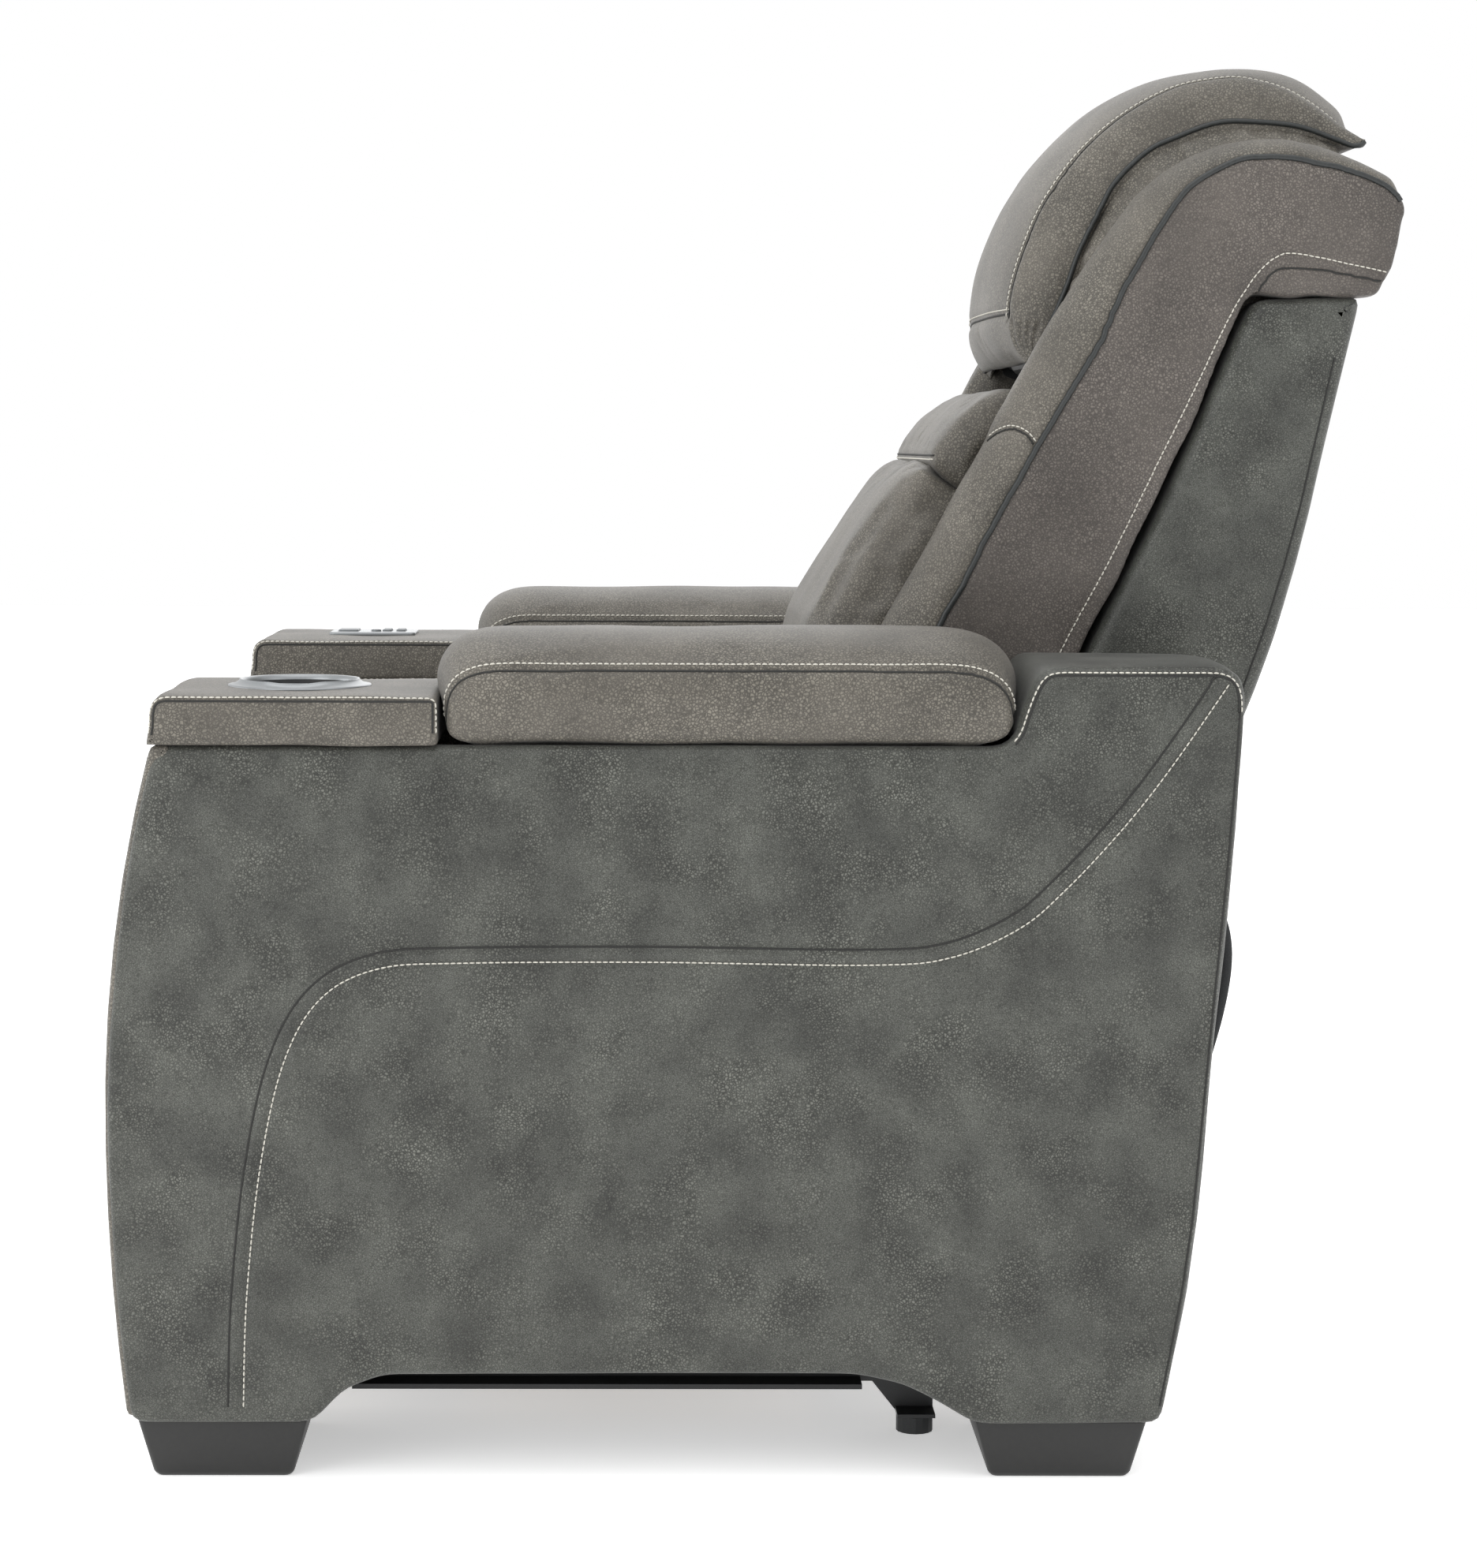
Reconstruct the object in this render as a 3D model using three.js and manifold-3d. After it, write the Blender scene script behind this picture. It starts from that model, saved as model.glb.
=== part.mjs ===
// Power recliner armchair, in millimetres. +Z is up, the sitter faces -Y and +X is the sitter's left.
// The origin is on the floor, at the middle of the chair's footprint.
import * as THREE from 'three';
import { mergeVertices } from 'three/addons/utils/BufferGeometryUtils.js';
import Module from 'manifold-3d';

const wasm = await Module();
wasm.setup();

// ---- driving dimensions ----
const GAP = 0.3;                      // air between pieces that touch
const CHAIR_HALF_WIDTH = 487.5;
const ARM_INNER_X = 272.5;
const PANEL = 19.5;                   // arm side panel, board and padding together
const ARM_FRONT_Y = -526.6;           // most forward point of the arm's bowed front
const ARM_BOW_Z = 297;                // height of that point
const BOW_ABOVE = 4.6e-4;             // how fast the front falls back above and below it, per mm
const BOW_BELOW = 2.85e-4;
const FRONT_PANEL = 16;
const ARM_BOTTOM_Z = 47.3;
const ARCH_TOP_Z = 86;
const ARM_TOP_Z = 574;
const REAR_BLOCK_TOP_Z = 634.5;
const CONSOLE_TOP_Z = 612;
const CONSOLE_REAR_Y = -269;
const PAD_FRONT_Y = -266;
const PAD_REAR_Y = 181;
const PAD_TOP_Z = 657;
const PAD_BOTTOM_Z = ARM_TOP_Z + 0.6;
const BIN = { y0: -245, y1: 155, floor: 400, wall: 3 };
const CUP = { x: 380, y: -385, ring: 57.5, mouth: 44, wall: 2, depth: 88, rim: 7 };
const CONTROL = { x: -380, y: -380, halfX: 30, halfY: 43.5, plate: 4 };
const BUTTON_TRAVEL_ROOM = 2.5;
const FOOT_HEIGHT = 47;
const RAIL_X = 320;
const RAIL = { y0: -345, y1: 81, z0: 37, z1: 84, wall: 4, flange: 30 };
const GLIDE = { y: 115, radius: 15, height: 13 };
const TUBE = 30;                      // square cross tube
const CROSS_Y = [-290, 20];
const CROSS_Z = 50;
const SLIDE_TOP_Z = 239;
const SEAT_HALF = 258;
const SEAT_PLATE_X = 262;
const STEEL = 4;
const DECK = { y0: -440, y1: 18, z0: 352, z1: 368 };
const CUSHION = { y0: -500, y1: 20, z0: 369, z1: 498 };
const BACK_PIVOT = [170, 250];
const BACK_HALF = 267;
const WING_INNER_X = 204;
const CENTRE_HALF = 200;
const HEADREST_PIVOT = [250, 885];
const HEADREST_HALF = 194;
const PIVOT_PIN = 5;
const PIN_PLAY = 0.5;
const LINK = 220;                     // both footrest links, between pivots
const LINK_HALF = 12;
const FOOTREST_PIVOT = [-380, 316];
const UPPER_LINK_DEG = -100;          // folded, measured from straight ahead, up is positive
const LOWER_LINK_DEG = 66.8;
const UPPER_LINK_X = 254;
const LOWER_LINK_X = 246;
const FOOTREST_EAR_X = 236;
const FOOTREST = { half: 242, z0: 90, z1: 364, board: -447, pad: -462, face: -515 };
const ACTUATOR = { z: 220, rod: 10, tube: 16, bore: 10.6 };

// ---- materials ----
function finish(colour, roughness, metalness = 0) {
  return { colour, roughness, metalness };
}
const TAUPE = finish(0x716c65, 0.55);
const TAUPE_SIDE = finish(0x6b6260, 0.55);
const DARK = finish(0x5f6260, 0.5);
const FOOT = finish(0x333431, 0.45);
const BLACK_STEEL = finish(0x1e1f20, 0.4, 0.9);
const BOARD = finish(0xb8976a, 0.8);
const SILVER = finish(0xb4b6b8, 0.35, 0.8);
const BLACK_PLASTIC = finish(0x202224, 0.5);
const GREY_BUTTON = finish(0x8f9294, 0.4, 0.3);
const LINING = finish(0x2a2b2c, 0.9);

const chair = new THREE.Group();

// A rigid body's pieces hang in one group at the body's joint.
function makeBody(pivot = [0, 0, 0]) {
  const group = new THREE.Group();
  group.position.set(...pivot);
  chair.add(group);
  return group;
}

function place(group, name, geometry, look) {
  const material = new THREE.MeshStandardMaterial({
    color: look.colour,
    roughness: look.roughness,
    metalness: look.metalness,
  });
  const mesh = new THREE.Mesh(geometry, material);
  mesh.name = name;
  mesh.position.copy(group.position).negate();
  group.add(mesh);
}

// ---- shapes ----
const X_AXIS = new THREE.Vector3(1, 0, 0);
const Y_AXIS = new THREE.Vector3(0, 1, 0);
const Z_AXIS = new THREE.Vector3(0, 0, 1);

// A closed outline with corners [a, b, radius]; a corner with a radius is rounded.
function outline(corners) {
  const shape = new THREE.Shape();
  const points = corners.map(([a, b]) => new THREE.Vector2(a, b));
  corners.forEach(([, , radius = 0], i) => {
    const corner = points[i];
    const before = points.at(i - 1);
    const after = points[(i + 1) % points.length];
    const start = corner.clone().lerp(before, radius / corner.distanceTo(before));
    const end = corner.clone().lerp(after, radius / corner.distanceTo(after));
    if (i === 0) {
      shape.moveTo(start.x, start.y);
    } else {
      shape.lineTo(start.x, start.y);
    }
    if (radius > 0) {
      shape.quadraticCurveTo(corner.x, corner.y, end.x, end.y);
    }
  });
  return shape;
}

// Points along a smooth curve through the given ones.
function curve(points, steps) {
  const line = new THREE.SplineCurve(points.map(([a, b]) => new THREE.Vector2(a, b)));
  return line.getPoints(steps).map((p) => [p.x, p.y]);
}

// A [y, z] outline given thickness along X.
function extrudeX(corners, x0, x1, segments = 4) {
  const options = { depth: x1 - x0, bevelEnabled: false, curveSegments: segments };
  const geometry = new THREE.ExtrudeGeometry(outline(corners), options);
  geometry.applyMatrix4(new THREE.Matrix4().makeBasis(Y_AXIS, Z_AXIS, X_AXIS));
  geometry.translate(x0, 0, 0);
  return geometry;
}

// The same outline on the side that is asked for: side is 1 for the left and -1 for the right.
function extrudeSide(side, corners, inner, outer, segments = 4) {
  return extrudeX(corners, Math.min(side * inner, side * outer), Math.max(side * inner, side * outer), segments);
}

function box(x0, x1, y0, y1, z0, z1) {
  const geometry = new THREE.BoxGeometry(x1 - x0, y1 - y0, z1 - z0);
  geometry.translate((x0 + x1) / 2, (y0 + y1) / 2, (z0 + z1) / 2);
  return geometry;
}

function sideBox(side, inner, outer, y0, y1, z0, z1) {
  return box(Math.min(side * inner, side * outer), Math.max(side * inner, side * outer), y0, y1, z0, z1);
}

// A cylinder along X, Y or Z, from a to b on that axis, centred on the other two coordinates.
function rod(axis, a, b, centre, radius, segments = 20) {
  const geometry = new THREE.CylinderGeometry(radius, radius, b - a, segments);
  if (axis === 'x') {
    geometry.rotateZ(-Math.PI / 2);
    geometry.translate((a + b) / 2, centre[0], centre[1]);
  } else if (axis === 'y') {
    geometry.translate(centre[0], (a + b) / 2, centre[1]);
  } else {
    geometry.rotateX(Math.PI / 2);
    geometry.translate(centre[0], centre[1], (a + b) / 2);
  }
  return geometry;
}

function sideRod(side, inner, outer, centre, radius) {
  return rod('x', Math.min(side * inner, side * outer), Math.max(side * inner, side * outer), centre, radius);
}

// A turned piece: profile is [radius, z], starting and ending on the axis.
function turned(profile, x, y, segments = 32) {
  const geometry = new THREE.LatheGeometry(profile.map(([r, z]) => new THREE.Vector2(r, z)), segments);
  geometry.rotateX(Math.PI / 2);
  geometry.translate(x, y, 0);
  return geometry;
}

// A block that narrows from its top rectangle to its bottom one.
function taperedBlock(top, bottom, z0, z1) {
  const geometry = new THREE.BoxGeometry(1, 1, 1);
  const corners = geometry.getAttribute('position');
  for (let i = 0; i < corners.count; i += 1) {
    const [x0, x1, y0, y1] = corners.getZ(i) > 0 ? top : bottom;
    const x = corners.getX(i) > 0 ? x1 : x0;
    const y = corners.getY(i) > 0 ? y1 : y0;
    corners.setXYZ(i, x, y, corners.getZ(i) > 0 ? z1 : z0);
  }
  return geometry;
}

// ---- joining and cutting ----
function solid(geometry) {
  const bare = geometry.clone();
  bare.deleteAttribute('normal');
  bare.deleteAttribute('uv');
  const merged = mergeVertices(bare, 1e-3);
  const vertProperties = new Float32Array(merged.getAttribute('position').array);
  const triVerts = new Uint32Array(merged.getIndex().array);
  return new wasm.Manifold(new wasm.Mesh({ numProp: 3, vertProperties, triVerts }));
}

function geometryOf(body) {
  const mesh = body.getMesh();
  const geometry = new THREE.BufferGeometry();
  geometry.setAttribute('position', new THREE.BufferAttribute(new Float32Array(mesh.vertProperties), 3));
  geometry.setIndex(new THREE.BufferAttribute(new Uint32Array(mesh.triVerts), 1));
  return geometry;
}

function join(...geometries) {
  return geometryOf(geometries.map(solid).reduce((whole, next) => whole.add(next)));
}

function cut(geometry, ...tools) {
  return geometryOf(tools.map(solid).reduce((rest, tool) => rest.subtract(tool), solid(geometry)));
}

// ---- arm outlines, in the [y, z] plane ----
function frontY(z) {
  const rise = z - ARM_BOW_Z;
  return ARM_FRONT_Y + (rise > 0 ? BOW_ABOVE : BOW_BELOW) * rise * rise;
}

// The bowed front edge from z0 to z1, set back by an inset.
function frontEdge(z0, z1, inset, steps) {
  const points = [];
  for (let i = 0; i <= steps; i += 1) {
    const z = z0 + (z1 - z0) * i / steps;
    points.push([frontY(z) + inset, z]);
  }
  return points;
}

const REAR_EDGE = curve([[356, 612], [349, 509], [331, 313], [318, 179], [294, ARM_BOTTOM_Z]], 10);
const NOTCH = [[170, ARM_TOP_Z], [180, 584], [186, 604], [193, 622], [201, REAR_BLOCK_TOP_Z, 6]];
const REAR_CORNER = [[340, REAR_BLOCK_TOP_Z], [352, 628]];
const ARCH = [
  [150, ARM_BOTTOM_Z], [120, 65], [94, 78], [57, ARCH_TOP_Z],
  [-310, ARCH_TOP_Z], [-341, 74], [-365, ARM_BOTTOM_Z],
];

function sidePanelOutline() {
  const inset = FRONT_PANEL + GAP;
  return [
    ...frontEdge(ARM_BOTTOM_Z, 556, inset, 10),
    [frontY(556) + inset + 8, ARM_TOP_Z],
    ...NOTCH,
    ...REAR_CORNER,
    ...REAR_EDGE,
    ...ARCH,
  ];
}

function frontPanelOutline() {
  const bottom = ARM_BOTTOM_Z + 4;
  const top = ARM_TOP_Z;
  return [
    ...frontEdge(bottom, top, 0, 10),
    ...frontEdge(bottom, top, FRONT_PANEL, 10).reverse(),
  ];
}

// The rear post closes the arm behind the storage bin: rear board, cap and a short front board.
function rearPostOutline() {
  const board = 16;
  const inside = REAR_EDGE.map(([y, z]) => [y - board, z]);
  return [
    [NOTCH[1][0], 576], ...NOTCH.slice(1), ...REAR_CORNER, ...REAR_EDGE,
    ...inside.reverse(),
    [336, REAR_BLOCK_TOP_Z - board], [216, REAR_BLOCK_TOP_Z - board], [196, 576],
  ];
}

function consoleOutline() {
  const base = ARM_TOP_Z + GAP;
  return [
    [frontY(base) - 3, base], [-492, 592, 6], [-481, CONSOLE_TOP_Z, 8],
    [CONSOLE_REAR_Y, CONSOLE_TOP_Z, 6], [CONSOLE_REAR_Y, base, 3],
  ];
}

function padOutline() {
  return [
    [PAD_FRONT_Y, PAD_BOTTOM_Z, 17], [PAD_FRONT_Y, PAD_TOP_Z, 48],
    [PAD_REAR_Y, PAD_TOP_Z, 56], [PAD_REAR_Y, PAD_BOTTOM_Z, 24],
  ];
}

// ---- the base: arms, feet and steel underframe ----
const base = makeBody();

function storageBin(side) {
  const outer = [ARM_INNER_X + PANEL + GAP, CHAIR_HALF_WIDTH - PANEL - GAP];
  const top = ARM_TOP_Z - 1;
  const { y0, y1, floor, wall } = BIN;
  const body = sideBox(side, outer[0], outer[1], y0, y1, floor, top);
  const room = sideBox(side, outer[0] + wall, outer[1] - wall, y0 + wall, y1 - wall, floor + wall, top + 10);
  return cut(body, room);
}

function foot(side, y0, y1) {
  const flare = 12;
  const top = [300, 478];
  const bottom = [top[0] + flare, top[1] - flare];
  const xTop = top.map((x) => side * x).sort((a, b) => a - b);
  const xBottom = bottom.map((x) => side * x).sort((a, b) => a - b);
  return taperedBlock([...xTop, y0, y1], [...xBottom, y0 + flare, y1 - flare], 0, FOOT_HEIGHT);
}

// A pressed rail whose rear end turns down into the bracket of the glide foot.
function baseRail(side) {
  const rearY = GLIDE.y + 16;
  const web = [
    [RAIL.y0, RAIL.z0], [RAIL.y1, RAIL.z0], [GLIDE.y - 15, GLIDE.height + GAP],
    [rearY, GLIDE.height + GAP], [rearY, RAIL.z1], [RAIL.y0, RAIL.z1],
  ];
  const flange = RAIL_X + RAIL.flange;
  return join(
    extrudeSide(side, web, RAIL_X, RAIL_X + RAIL.wall),
    sideBox(side, RAIL_X, flange, RAIL.y0, RAIL.y1 - 10, RAIL.z0, RAIL.z0 + RAIL.wall),
    sideBox(side, RAIL_X, flange, GLIDE.y - 15, rearY, GLIDE.height + GAP, GLIDE.height + 3.3),
  );
}

// A square tube between the rails, with two posts that carry the sliding seat.
function crossFrame(y) {
  const end = RAIL_X - GAP;
  const hollow = TUBE - 6;
  const post = (side) => sideBox(side, 260, 270, y, y + TUBE, CROSS_Z + TUBE - 1, SLIDE_TOP_Z);
  const tube = cut(
    box(-end, end, y, y + TUBE, CROSS_Z, CROSS_Z + TUBE),
    box(-end - 1, end + 1, y + 3, y + 3 + hollow, CROSS_Z + 3, CROSS_Z + 3 + hollow),
  );
  return join(tube, post(1), post(-1));
}

function makeArm(side, label) {
  place(base, `arm_outer_panel_${label}`,
    extrudeSide(side, sidePanelOutline(), CHAIR_HALF_WIDTH - PANEL, CHAIR_HALF_WIDTH), DARK);
  place(base, `arm_inner_panel_${label}`,
    extrudeSide(side, sidePanelOutline(), ARM_INNER_X, ARM_INNER_X + PANEL), TAUPE);
  place(base, `arm_front_panel_${label}`,
    extrudeSide(side, frontPanelOutline(), ARM_INNER_X, CHAIR_HALF_WIDTH), TAUPE);
  place(base, `arm_rear_post_${label}`,
    extrudeSide(side, rearPostOutline(), ARM_INNER_X + PANEL + GAP, CHAIR_HALF_WIDTH - PANEL - GAP), DARK);
  place(base, `storage_bin_${label}`, storageBin(side), LINING);
  place(base, `front_foot_${label}`, foot(side, -502, -370), FOOT);
  place(base, `rear_foot_${label}`, foot(side, 151, 285), FOOT);
  place(base, `base_rail_${label}`, baseRail(side), BLACK_STEEL);
  place(base, `glide_foot_${label}`,
    rod('z', 0, GLIDE.height, [side * (RAIL_X + 15), GLIDE.y], GLIDE.radius, 16), BLACK_PLASTIC);
}
makeArm(1, 'left');
makeArm(-1, 'right');
place(base, 'front_cross_frame', crossFrame(CROSS_Y[0]), BLACK_STEEL);
place(base, 'rear_cross_frame', crossFrame(CROSS_Y[1]), BLACK_STEEL);

// ---- cup holder on the left console, switch panel on the right one ----
function cupHolder() {
  const seat = CONSOLE_TOP_Z + GAP;
  const rim = seat + CUP.rim;
  const floor = rim - CUP.depth;
  const outside = CUP.mouth + CUP.wall;
  return turned([
    [0, floor], [outside - 4, floor], [outside, floor + 4], [outside, seat],
    [CUP.ring, seat], [CUP.ring, seat + 2], [CUP.ring - 4, rim - 1], [CUP.ring - 8, rim],
    [CUP.mouth + 3, rim], [CUP.mouth, rim - 3], [CUP.mouth, floor + 8],
    [CUP.mouth - 5, floor + CUP.wall], [0, floor + CUP.wall],
  ], CUP.x, CUP.y);
}

const consoleBlock = (side) => extrudeSide(side, consoleOutline(), ARM_INNER_X, CHAIR_HALF_WIDTH);
const cupHole = rod('z', 560, 640, [CUP.x, CUP.y], CUP.mouth + CUP.wall + 0.5, 32);
place(base, 'console_block_left', cut(consoleBlock(1), cupHole), TAUPE);
place(base, 'cup_holder', cupHolder(), SILVER);

const plateZ = CONSOLE_TOP_Z + GAP;
const housing = { halfX: CONTROL.halfX - 5, halfY: CONTROL.halfY - 4, z0: 588, wall: 2 };

function controlBox(halfX, halfY, z0, z1) {
  return box(CONTROL.x - halfX, CONTROL.x + halfX, CONTROL.y - halfY, CONTROL.y + halfY, z0, z1);
}

// Each control sits at [x, y] from the panel's middle, and is round or a small rectangle.
const CONTROLS = [
  { name: 'recline_rocker', x: 0, y: -25, halfX: 17, halfY: 10 },
  { name: 'home_button', x: 12, y: 3, radius: 5 },
  { name: 'footrest_open_button', x: -8, y: 14, halfX: 5, halfY: 4.5 },
  { name: 'footrest_close_button', x: 8, y: 14, halfX: 5, halfY: 4.5 },
  { name: 'headrest_forward_button', x: -8, y: 28, halfX: 5, halfY: 4.5 },
  { name: 'headrest_back_button', x: 8, y: 28, halfX: 5, halfY: 4.5 },
];

// The control's own column, grown by a margin all round.
function controlColumn(control, margin, z0, z1) {
  const x = CONTROL.x + control.x;
  const y = CONTROL.y + control.y;
  if (control.radius) {
    return rod('z', z0, z1, [x, y], control.radius + margin, 16);
  }
  const { halfX, halfY } = control;
  return box(x - halfX - margin, x + halfX + margin, y - halfY - margin, y + halfY + margin, z0, z1);
}

place(base, 'console_block_right',
  cut(consoleBlock(-1), controlBox(housing.halfX + GAP, housing.halfY + GAP, 560, 640)), TAUPE);
place(base, 'control_panel', cut(
  controlBox(CONTROL.halfX, CONTROL.halfY, plateZ, plateZ + CONTROL.plate),
  ...CONTROLS.map((control) => controlColumn(control, 0.6, plateZ - 5, plateZ + 10)),
), SILVER);
place(base, 'control_housing', cut(
  controlBox(housing.halfX, housing.halfY, housing.z0, plateZ - GAP),
  controlBox(housing.halfX - housing.wall, housing.halfY - housing.wall, housing.z0 + housing.wall, 640),
), BLACK_PLASTIC);
for (const control of CONTROLS) {
  const body = makeBody([CONTROL.x + control.x, CONTROL.y + control.y, plateZ]);
  const low = plateZ - 6;
  const high = plateZ + CONTROL.plate + BUTTON_TRAVEL_ROOM;
  place(body, control.name, controlColumn(control, 0, low, high), GREY_BUTTON);
}

// ---- lift-up arm pads over the storage bins ----
function makeLid(side, label) {
  const lid = makeBody([side * CHAIR_HALF_WIDTH, 0, PAD_BOTTOM_Z]);
  const plug = { inner: ARM_INNER_X + PANEL + 8, outer: CHAIR_HALF_WIDTH - PANEL - 8 };
  place(lid, `arm_pad_${label}`, extrudeSide(side, padOutline(), ARM_INNER_X, CHAIR_HALF_WIDTH, 6), TAUPE);
  place(lid, `lid_board_${label}`, sideBox(side, plug.inner, plug.outer,
    BIN.y0 + 10, BIN.y1 - 10, PAD_BOTTOM_Z - 12, PAD_BOTTOM_Z - GAP), LINING);
}
makeLid(1, 'left');
makeLid(-1, 'right');

// ---- power unit: a fixed tube and gearbox, and a rod that pushes the seat ----
const rodCentre = [0, ACTUATOR.z];
const motorHalf = 32;
const crossTop = CROSS_Z + TUBE;
place(base, 'recline_motor', cut(
  join(
    box(-motorHalf, motorHalf, 46, 104, 185, 255),
    box(-20, 20, 24, 46, crossTop + GAP, ACTUATOR.z - 10),
    rod('y', -140, 60, rodCentre, ACTUATOR.tube),
  ),
  rod('y', -150, 35, rodCentre, ACTUATOR.bore),
), BLACK_PLASTIC);
place(base, 'power_inlet', cut(
  box(-150, -90, 20, 76, crossTop + GAP, 120),
  box(-135, -105, 62, 90, 92, 110),
), BLACK_PLASTIC);

// ---- seat, carried on the posts of the cross frames ----
const seat = makeBody([0, 0, SLIDE_TOP_Z]);
const slideFoot = SLIDE_TOP_Z + GAP;

function seatPlate(side) {
  const [py, pz] = FOOTREST_PIVOT;
  const [by, bz] = BACK_PIVOT;
  const plate = extrudeSide(side, [
    [py - 22, pz - 24, 10], [-330, slideFoot, 10], [by + 22, slideFoot, 8], [by + 22, bz + 26, 12],
    [60, DECK.z0 - GAP, 10], [py - 22, DECK.z0 - GAP, 10],
  ], SEAT_PLATE_X, SEAT_PLATE_X + STEEL);
  return join(
    plate,
    sideRod(side, UPPER_LINK_X - 2, SEAT_PLATE_X + 1, FOOTREST_PIVOT, PIVOT_PIN),
    sideRod(side, UPPER_LINK_X - 2, SEAT_PLATE_X + 1, BACK_PIVOT, PIVOT_PIN),
  );
}
place(seat, 'seat_plate_left', seatPlate(1), BLACK_STEEL);
place(seat, 'seat_plate_right', seatPlate(-1), BLACK_STEEL);
place(seat, 'seat_deck',
  box(-SEAT_PLATE_X - STEEL, SEAT_PLATE_X + STEEL, DECK.y0, DECK.y1, DECK.z0, DECK.z1), BOARD);
place(seat, 'seat_cushion', extrudeX([
  [CUSHION.y0, CUSHION.z0, 20], [CUSHION.y0, CUSHION.z1 - 10, 45], [-300, CUSHION.z1],
  [CUSHION.y1, CUSHION.z1 - 14, 30], [CUSHION.y1, CUSHION.z0, 20],
], -SEAT_HALF, SEAT_HALF), TAUPE);
place(seat, 'actuator_rod', join(
  rod('y', -325, 20, rodCentre, ACTUATOR.rod),
  box(-15, 15, -332, -308, ACTUATOR.z - 14, DECK.z0 - GAP),
), SILVER);

// ---- footrest: two links a side that unfold from under the seat ----
function along(start, degrees, length) {
  const angle = THREE.MathUtils.degToRad(degrees);
  return [start[0] - length * Math.cos(angle), start[1] + length * Math.sin(angle)];
}
const ELBOW = along(FOOTREST_PIVOT, UPPER_LINK_DEG, LINK);
const ANKLE = along(ELBOW, LOWER_LINK_DEG, LINK);

// A flat bar with round ends, holed at its start and with a pin at its end.
function linkBar(side, inner, start, end, pinInner) {
  const outer = inner + STEEL;
  const mid = [(start[0] + end[0]) / 2, (start[1] + end[1]) / 2];
  const bar = new THREE.BoxGeometry(STEEL, LINK, 2 * LINK_HALF);
  bar.rotateX(Math.atan2(end[1] - start[1], end[0] - start[0]));
  bar.translate(side * (inner + outer) / 2, ...mid);
  const whole = join(
    bar,
    sideRod(side, inner, outer, start, LINK_HALF),
    sideRod(side, inner, outer, end, LINK_HALF),
    sideRod(side, pinInner, outer, end, PIVOT_PIN),
  );
  return cut(whole, sideRod(side, inner - 20, outer + 20, start, PIVOT_PIN + PIN_PLAY));
}

const upperLinks = makeBody([0, ...FOOTREST_PIVOT]);
const lowerLinks = makeBody([0, ...ELBOW]);
const footrest = makeBody([0, ...ANKLE]);
for (const [side, label] of [[1, 'left'], [-1, 'right']]) {
  place(upperLinks, `upper_link_${label}`,
    linkBar(side, UPPER_LINK_X, FOOTREST_PIVOT, ELBOW, LOWER_LINK_X - 2), BLACK_STEEL);
  place(lowerLinks, `lower_link_${label}`,
    linkBar(side, LOWER_LINK_X, ELBOW, ANKLE, FOOTREST_EAR_X - 2), BLACK_STEEL);
}
const torqueEnd = UPPER_LINK_X - GAP;
place(upperLinks, 'torque_tube',
  rod('x', -torqueEnd, torqueEnd, along(FOOTREST_PIVOT, UPPER_LINK_DEG, 60), 9, 16), BLACK_STEEL);

function footrestEar(side) {
  const [y, z] = ANKLE;
  const ear = [[FOOTREST.board - 1, z - 30], [y + 14, z - 14, 8], [y + 14, z + 14, 8], [FOOTREST.board - 1, z + 30]];
  return extrudeSide(side, ear, FOOTREST_EAR_X, FOOTREST_EAR_X + STEEL);
}
const { half, z0, z1, board, pad, face } = FOOTREST;
place(footrest, 'footrest_board', cut(
  join(box(-half, half, pad + GAP, board, z0, z1), footrestEar(1), footrestEar(-1)),
  rod('x', -300, 300, ANKLE, PIVOT_PIN + PIN_PLAY),
), BOARD);
place(footrest, 'footrest_pad', extrudeX([
  [pad, z0 - 3, 12], [pad, z1 + 3, 12], [face, z1 + 3, 36], [face, z0 - 3, 36],
], -half - 3, half + 3), TAUPE);

// ---- back ----
const back = makeBody([0, ...BACK_PIVOT]);
const BACK_SLOPE = 0.246;             // how far the frame board leans back per mm of height

function frameY(z) {
  return 190 + BACK_SLOPE * (z - 300);
}

// The frame board, its two lower ears on the seat's pins, and the upper ears and rod for the headrest.
function backFrame() {
  const bottom = 285;
  const top = 898;
  const t = 9;
  const boardShape = [
    [frameY(bottom) - t, bottom], [frameY(top) - t, top], [frameY(top) + t, top], [frameY(bottom) + t, bottom],
  ];
  const [by, bz] = BACK_PIVOT;
  const [hy, hz] = HEADREST_PIVOT;
  const lowerEar = [[by - 16, bz - 16, 12], [by - 16, 310, 8], [by + 50, 310, 8], [by + 16, bz - 16, 12]];
  const upperEar = [
    [hy - 10, hz - 10, 6], [hy - 10, hz + 10, 6], [frameY(top), top - 3], [frameY(850), 850],
  ];
  const earX = CENTRE_HALF - 3;
  const parts = [
    extrudeX(boardShape, -CENTRE_HALF, CENTRE_HALF),
    box(-UPPER_LINK_X - STEEL, UPPER_LINK_X + STEEL, frameY(295) - t, frameY(295) + t, 288, 308),
    rod('x', -earX, earX, HEADREST_PIVOT, PIVOT_PIN),
  ];
  for (const side of [1, -1]) {
    parts.push(extrudeSide(side, lowerEar, UPPER_LINK_X, UPPER_LINK_X + STEEL));
    parts.push(extrudeSide(side, upperEar, earX, CENTRE_HALF));
  }
  return cut(join(...parts), rod('x', -300, 300, BACK_PIVOT, PIVOT_PIN + PIN_PLAY));
}
place(back, 'back_frame', backFrame(), BOARD);

const SHELL_REAR = curve([[490, 933], [464, 815], [447, 740], [421, 651], [391, 570], [362, 500], [345, 447]], 10);
const SHELL_FRONT = curve([[205, 480], [235, 570], [264, 638], [310, 730], [365, 851], [393, 917], [402, 931]], 10);
const SHELL_WALL = 12;

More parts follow.
